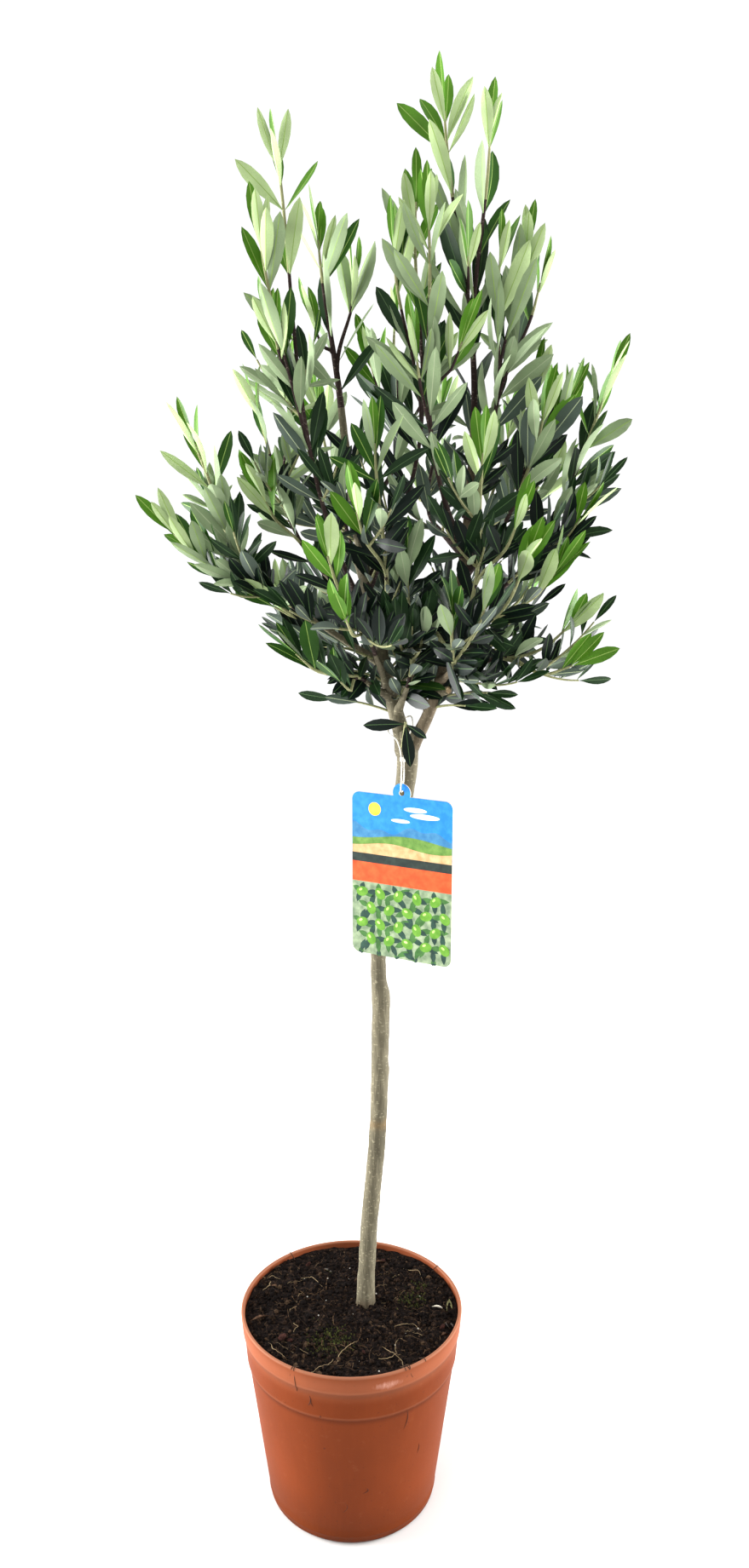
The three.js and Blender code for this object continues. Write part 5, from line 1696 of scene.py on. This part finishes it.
def marked_knots():
    """The middles of the trunk's knots, with their spreads and how far they stand out."""
    heights, leans, depths, _ = zip(*TRUNK_STATIONS)
    for height, degrees, spread, high in KNOTS:
        axis = np.array([np.interp(height, heights, leans), np.interp(height, heights, depths)])
        yield Vector((*(axis + KNOT_REACH * bearing(degrees)), height)), spread, high


def roughened(mesh, relief, is_trunk=False):
    """Moves a bark mesh in and out by its streaks and lumps, and marks the trunk's rub and earthy foot."""
    mesh.update()
    rub = mesh.attributes.new("rub", "FLOAT", "POINT")
    earth = mesh.attributes.new("earth", "FLOAT", "POINT")
    foot, knots = Vector(TRUNK_STATIONS[0][1:3]), list(marked_knots())

    def drawn(place, across, along):
        return noise.noise(Vector((place.x / across, place.y / across, place.z / along)))

    moves = []
    for vert in mesh.vertices:
        place, normal = vert.co, vert.normal
        out = BARK_SHARES[0] * drawn(place, *STREAKS) + BARK_SHARES[1] * noise.noise(place / LUMP_SIZE)
        out = relief * (out + BARK_SHARES[2] * drawn(place, *WRINKLES))
        if is_trunk:
            turn = math.atan2(place.y - foot.y, place.x - foot.x)
            above = max(place.z - COMPOST_HEIGHT, 0)
            out += LOBE_DEPTH * math.cos(FLARE_LOBES * turn + 0.7) * math.exp(-above / LOBE_HEIGHT)
            for knot, spread, high in knots:
                away = (place - knot).length / spread
                dimple = KNOT_DIMPLE[0] * math.exp(-((away / KNOT_DIMPLE[1]) ** 2))
                out += high * (math.exp(-(away**2)) - dimple)
            edge = SCAR_WANDER[0] * noise.noise(place / SCAR_WANDER[1])
            band = math.exp(-(((place.z - SCAR_HEIGHT + edge) / SCAR_SPREAD) ** 2) * 2)
            worn = 0.6 + 0.8 * noise.noise(place / SCAR_GRAIN) ** 2
            rub.data[vert.index].value = SCAR_COLOUR * band * worn
            out -= SCAR_DEPTH * band
            splash = COMPOST_HEIGHT + EARTH_HEIGHT + EARTH_WANDER[0] * noise.noise(place / EARTH_WANDER[1])
            earth.data[vert.index].value = EARTH_COLOUR * clamped((splash - place.z) / EARTH_HEIGHT)
        moves.append(place + normal * out)
    mesh.vertices.foreach_set("co", np.array(moves).ravel())
    mesh.update()
    return mesh


class OLIVE_OT_bark(bpy.types.Operator):
    """Trunk and boughs with the bark's relief, knots and pruned stubs"""

    bl_idname = "olive.bark"
    bl_label = "Bark"

    def execute(self, context):
        relief = context.scene.olive_sizes.bark_relief
        limbs = grow_limbs()
        finishes = wood_finishes(context.scene.olive_colours)
        trunk, shares, cap = limbs["trunk"], np.linspace(0, 1, 300), np.linspace(0, 1, 8)[1:]
        places, radii = trunk.path.at(shares), trunk.radius(shares)
        places = np.concatenate([places, places[-1] + np.outer(TRUNK_CAP * cap, trunk.path.heading(1))])
        radii = np.concatenate([radii, radii[-1] * np.sqrt(1.001 - cap**2)])
        bark = roughened(tubes([(places, radii, OLD_WOOD)], 56), relief, is_trunk=True)
        finished("trunk_bark", bark, finishes, "bark", "trunk")

        mains, branches = ([], []), ([], [])  # bars and nodes
        swell, seat, fade = COLLAR
        for name, spec in LIMBS.items():
            limb = limbs[name]
            shares = np.linspace(0, 1, max(20, round(limb.path.length / BARK_PITCH)))
            past = shares * limb.path.length - seat * limbs[spec.on].radius(spec.at)
            radii = limb.radius(shares) * (1 + swell * np.exp(-np.maximum(past, 0) / fade))
            kind = BROWN_WOOD if "right_bough" in (name, spec.on) else OLD_WOOD
            if not spec.radius and spec.end[2] > RIPE_LIMB_HEIGHT:
                kind = STEM
            bars, nodes = mains if spec.radius else branches
            bars.append((limb.path.at(shares), radii, kind))
            nodes.append(name)
        for name, share, degrees, length, radius in STUBS:
            limb = limbs[name]
            heading, foot = limb.path.heading(share), limb.path.at(share)
            outwards = np.array([*bearing(degrees), STUB_RISE[0]])
            lean = unit(outwards - heading * (outwards @ heading) + STUB_RISE[1] * heading)
            marks = np.linspace(0, limb.radius(share) + length, 9)
            radii = radius * (1 + 0.4 * np.exp(-marks / 0.006))
            cut = foot + np.outer([marks[-1] - 0.001, marks[-1] + 0.0004], lean)
            branches[0].append((foot + np.outer(marks, lean), radii, OLD_WOOD))
            branches[0].append((cut, [0.86 * radius, 0.8 * radius], CUT_WOOD))
        for name, sides, (bars, nodes) in (("main_bough_bark", 36, mains), ("branch_bark", 22, branches)):
            bark = roughened(tubes(bars, sides), relief * BRANCH_RELIEF)
            finished(name, bark, finishes, "bark", *nodes)
        return {"FINISHED"}


class OLIVE_OT_crown(bpy.types.Operator):
    """Shoots, twigs and leaves that grow on from the boughs"""

    bl_idname = "olive.crown"
    bl_label = "Crown"

    def execute(self, context):
        growths = grow_crown(grow_limbs(), context.scene.olive_sizes)
        wood = wood_finishes(context.scene.olive_colours)
        blades = leaf_finishes(context.scene.olive_colours)
        for region, shoots in REGIONS.items():
            bars = [bar for shoot in shoots for bar in growths[shoot].bars]
            rows = [row for shoot in shoots for row in growths[shoot].leaves]
            finished(f"{region}_twigs", tubes(bars, 8), wood, "bark")
            nodes = [f"{shoot}_foliage" for shoot in shoots]
            finished(f"{region}_leaves", leaf_mesh(rows), blades, "leaf_upper", *nodes)

        foot, node = np.array(SPRIG_FOOT), np.array(SPRIG_NODE)
        bend = np.array([foot[0], node[1], foot[2] + 0.002])
        line = bezier([foot, bend, node], 12)
        finished("fork_sprig_twig", tubes([(line, SPRIG_RADIUS, GREEN_WOOD)], 8), wood, "bark")
        root = Path(line).at(0.95)
        rows = [
            leaf_row(root, unit(np.array(heading)), FRONT, size, 0.3 * size, *SPRIG_SHAPE)
            for heading, size in SPRIG_LEAVES
        ]
        finished("fork_sprig_leaves", leaf_mesh(rows), blades, "leaf_upper", "fork_sprig_foliage")
        return {"FINISHED"}


def card_outline():
    """The card's edge, with its round corners and humped tab, round the eye at (0, 0)."""
    half, top, bottom, r = CARD_WIDTH / 2, -CARD_SHOULDER, -CARD_SHOULDER - CARD_HEIGHT, CARD_CORNER
    dip = math.asin(CARD_SHOULDER / CARD_TAB_RADIUS)
    east, north, west, south, round_again = np.arange(5) * 0.5 * math.pi
    arcs = (
        (-half + r, bottom + r, r, west, south), (half - r, bottom + r, r, south, round_again),
        (half - r, top - r, r, east, north), (0, 0, CARD_TAB_RADIUS, -dip, west + dip),
        (-half + r, top - r, r, north, west),
    )
    return [
        (x + radius * math.cos(turn), y + radius * math.sin(turn))
        for x, y, radius, start, end in arcs for turn in np.linspace(start, end, ARC_STEPS)
    ]


def turned(shape, x, y, degrees):
    """An outline leant by a turn, and moved to a place."""
    c, s = bearing(degrees)
    return [(x + a * c - b * s, y + a * s + b * c) for a, b in shape]


def ellipse(x, y, long, short, degrees=0.0, count=20):
    """An oval's outline."""
    angles = np.linspace(0, 2 * math.pi, count, endpoint=False)
    return turned([(long * math.cos(angle), short * math.sin(angle)) for angle in angles], x, y, degrees)


def blade(x, y, length, degrees):
    """A printed leaf's outline from its foot."""
    shape = [(0, 0), (0.2, 0.6), (0.45, 1), (0.7, 0.8), (1, 0), (0.7, -0.8), (0.45, -1), (0.2, -0.6)]
    return turned([(a * length, b * FIELD_LEAF_WIDTH / 2) for a, b in shape], x, y, degrees)


def print_shapes():
    """The print: for each shape its outline, its layer and the number of its ink."""
    left, right = -CARD_WIDTH / 2 + PRINT_MARGIN, CARD_WIDTH / 2 - PRINT_MARGIN
    shapes = [(ellipse(x, y, long, short, count=count), 1, ink) for x, y, long, short, count, ink in SKY]
    xs = np.linspace(left, right, 25)
    far = -0.034 + 0.003 * np.sin(xs / 0.011) + 0.002 * np.sin(xs / 0.0043)
    near = -0.0415 + 0.0028 * np.sin(xs / 0.017 + 1.2)
    shore = -0.049 + 0.0022 * np.sin(xs / 0.013 + 2.4)
    low = PRINT_BANDS[1][0]
    for number, tops in enumerate((far, near, shore)):
        shapes.append(([(left, low), (right, low), *reversed(list(zip(xs, tops)))], 1 + number, 4 + number))
    for row, y in enumerate(np.arange(FIELD_TOP, -0.15, -FIELD_PITCH[1])):
        for column in range(6):
            x = FIELD_LEFT + FIELD_PITCH[0] * column + (FIELD_PITCH[0] / 2 if row % 2 else 0)
            if x > FIELD_RIGHT:
                continue
            turn = 90 * ((row + column) % 2) + 24 * (column % 3) - 20
            for number in range(4):
                length, lean = FIELD_LEAF_LENGTH - 0.0022 * (number % 2), turn + 90 * number
                while not on_card(blade(x, y, length, lean)) and length > 0.003:
                    length -= 0.001
                shapes.append((blade(x, y, length, lean), 1 + number % 2, 10 + (number + row) % 2))
            fruit = ellipse(x + 0.0012, y - 0.001, 0.0058, 0.0044, turn + 35)
            if on_card(fruit):
                shapes.append((fruit, 3, 12))
                shapes.append((ellipse(x - 0.0003, y + 0.0006, 0.0019, 0.0011, turn + 50, 12), 4, 13))
    return shapes


def on_card(outline):
    """Whether a shape in the lower field lies inside the card's edge, with its round corners."""
    half, bottom, r = CARD_WIDTH / 2 - PRINT_MARGIN, -CARD_SHOULDER - CARD_HEIGHT + PRINT_MARGIN, CARD_CORNER
    return all(
        y <= PRINT_BANDS[3][0] and math.hypot(max(abs(x) - half + r, 0), max(bottom + r - y, 0)) <= r
        for x, y in outline
    )


def raised(bm, faces, height):
    """Raises faces straight up, with walls round them."""
    grown = bmesh.ops.extrude_face_region(bm, geom=faces)["geom"]
    verts = [item for item in grown if isinstance(item, bmesh.types.BMVert)]
    bmesh.ops.translate(bm, vec=(0, 0, height), verts=verts)


def hang_card():
    """The card: a board cut at its bands, with the printed shapes raised on its front."""
    bm = bmesh.new()
    for outline in (card_outline(), ellipse(0, 0, CARD_EYE_RADIUS, CARD_EYE_RADIUS)):
        ring = [bm.verts.new((x, y, -CARD_THICKNESS / 2)) for x, y in outline]
        for pair in zip([ring[-1], *ring], ring):
            bm.edges.new(pair)
    bmesh.ops.triangle_fill(bm, use_beauty=True, edges=bm.edges[:])
    raised(bm, bm.faces[:], CARD_THICKNESS)
    for height, _ in PRINT_BANDS[1:]:
        whole = bm.verts[:] + bm.edges[:] + bm.faces[:]
        bmesh.ops.bisect_plane(bm, geom=whole, plane_co=(0, height, 0), plane_no=(0, 1, 0))
    bmesh.ops.recalc_face_normals(bm, faces=bm.faces)
    for face in bm.faces:
        middle = face.calc_center_median()
        if middle.z > 0 and face.normal.z > 0.9:
            face.material_index = [ink for top, ink in PRINT_BANDS if middle.y < top][-1]
    for outline, layer, ink in print_shapes():
        face = bm.faces.new([bm.verts.new((x, y, CARD_THICKNESS / 2 - INK_SINK)) for x, y in outline])
        face.material_index = ink
        raised(bm, [face], INK_THICKNESS * layer)
    placing = Matrix.Translation(Vector(CARD_EYE)) @ Matrix.Rotation(-math.radians(CARD_YAW), 4, "Z")
    bmesh.ops.transform(bm, matrix=placing @ Matrix.Rotation(math.pi / 2, 4, "X"), verts=bm.verts)
    inks = [print_finish(*ink) for ink in INKS]
    finished("printed_card", mesh_of(bm, merged=False), inks, "card", "hang_card")


def tie_string():
    """The string: two plies twisted along its route, and the knot's coils."""
    route = Path(spline([np.array(place) * MM for place in STRING_ROUTE], 40, closed=True))
    shares = np.linspace(0, 1, STRING_STEPS, endpoint=False)
    places = route.at(shares)
    headings = np.roll(places, -1, axis=0) - np.roll(places, 1, axis=0)
    headings /= np.linalg.norm(headings, axis=1)[:, None]
    across = np.cross(headings, np.array([0.3, 0.9, 0.1]))
    across /= np.linalg.norm(across, axis=1)[:, None]
    rising = np.cross(headings, across)
    turns = 2 * math.pi * round(route.length / STRING_LAY) * shares
    plies = []
    for phase in (0, math.pi):
        out = across * np.cos(turns + phase)[:, None] + rising * np.sin(turns + phase)[:, None]
        plies.append((places + PLY_OFFSET * out, PLY_RADIUS, 0))
    finished("card_twine", tubes(plies, 8, closed=True), [string_finish()], "string", "card_string")
    coils = np.linspace(0, KNOT_COILS, KNOT_STEPS)
    wraps = np.column_stack([np.cos(coils), np.sin(coils), coils / coils[-1] - 0.5]) * KNOT_SIZE
    finished("card_knot", tubes([(KNOT_PLACE + wraps, KNOT_RADIUS, 0)], 8), [string_finish()], "string")


class OLIVE_OT_card(bpy.types.Operator):
    """Hang card with its print, and the string that ties it on"""

    bl_idname = "olive.card"
    bl_label = "Hang card"

    def execute(self, context):
        hang_card()
        tie_string()
        return {"FINISHED"}


class OLIVE_PT_sidebar(bpy.types.Panel):
    """Builds the tree piece by piece"""

    bl_idname = "OLIVE_PT_sidebar"
    bl_label = "Olive Tree"
    bl_space_type = "VIEW_3D"
    bl_region_type = "UI"
    bl_category = "Olive Tree"

    def draw(self, context):
        for group in (context.scene.olive_sizes, context.scene.olive_colours):
            for name in group.__annotations__:
                self.layout.prop(group, name)
        for operator in OPERATORS:
            self.layout.operator(operator.bl_idname)


OPERATORS = (OLIVE_OT_stage, OLIVE_OT_pot, OLIVE_OT_compost, OLIVE_OT_bark, OLIVE_OT_crown, OLIVE_OT_card)
CLASSES = (OliveSizes, OliveColours, *OPERATORS, OLIVE_PT_sidebar)


def register():
    for kind in CLASSES:
        bpy.utils.register_class(kind)
    bpy.types.Scene.olive_sizes = PointerProperty(type=OliveSizes)
    bpy.types.Scene.olive_colours = PointerProperty(type=OliveColours)


def unregister():
    del bpy.types.Scene.olive_colours
    del bpy.types.Scene.olive_sizes
    for kind in reversed(CLASSES):
        bpy.utils.unregister_class(kind)


def main():
    register()
    bpy.ops.olive.stage()
    bpy.ops.olive.pot()
    bpy.ops.olive.compost()
    bpy.ops.olive.bark()
    bpy.ops.olive.crown()
    bpy.ops.olive.card()
    bpy.context.view_layer.update()
    boxes = {"cad": PACKED, "visual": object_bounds()}
    {name: [list(corner) for corner in box] for name, box in boxes.items()}


if __name__ == "__main__":
    main()
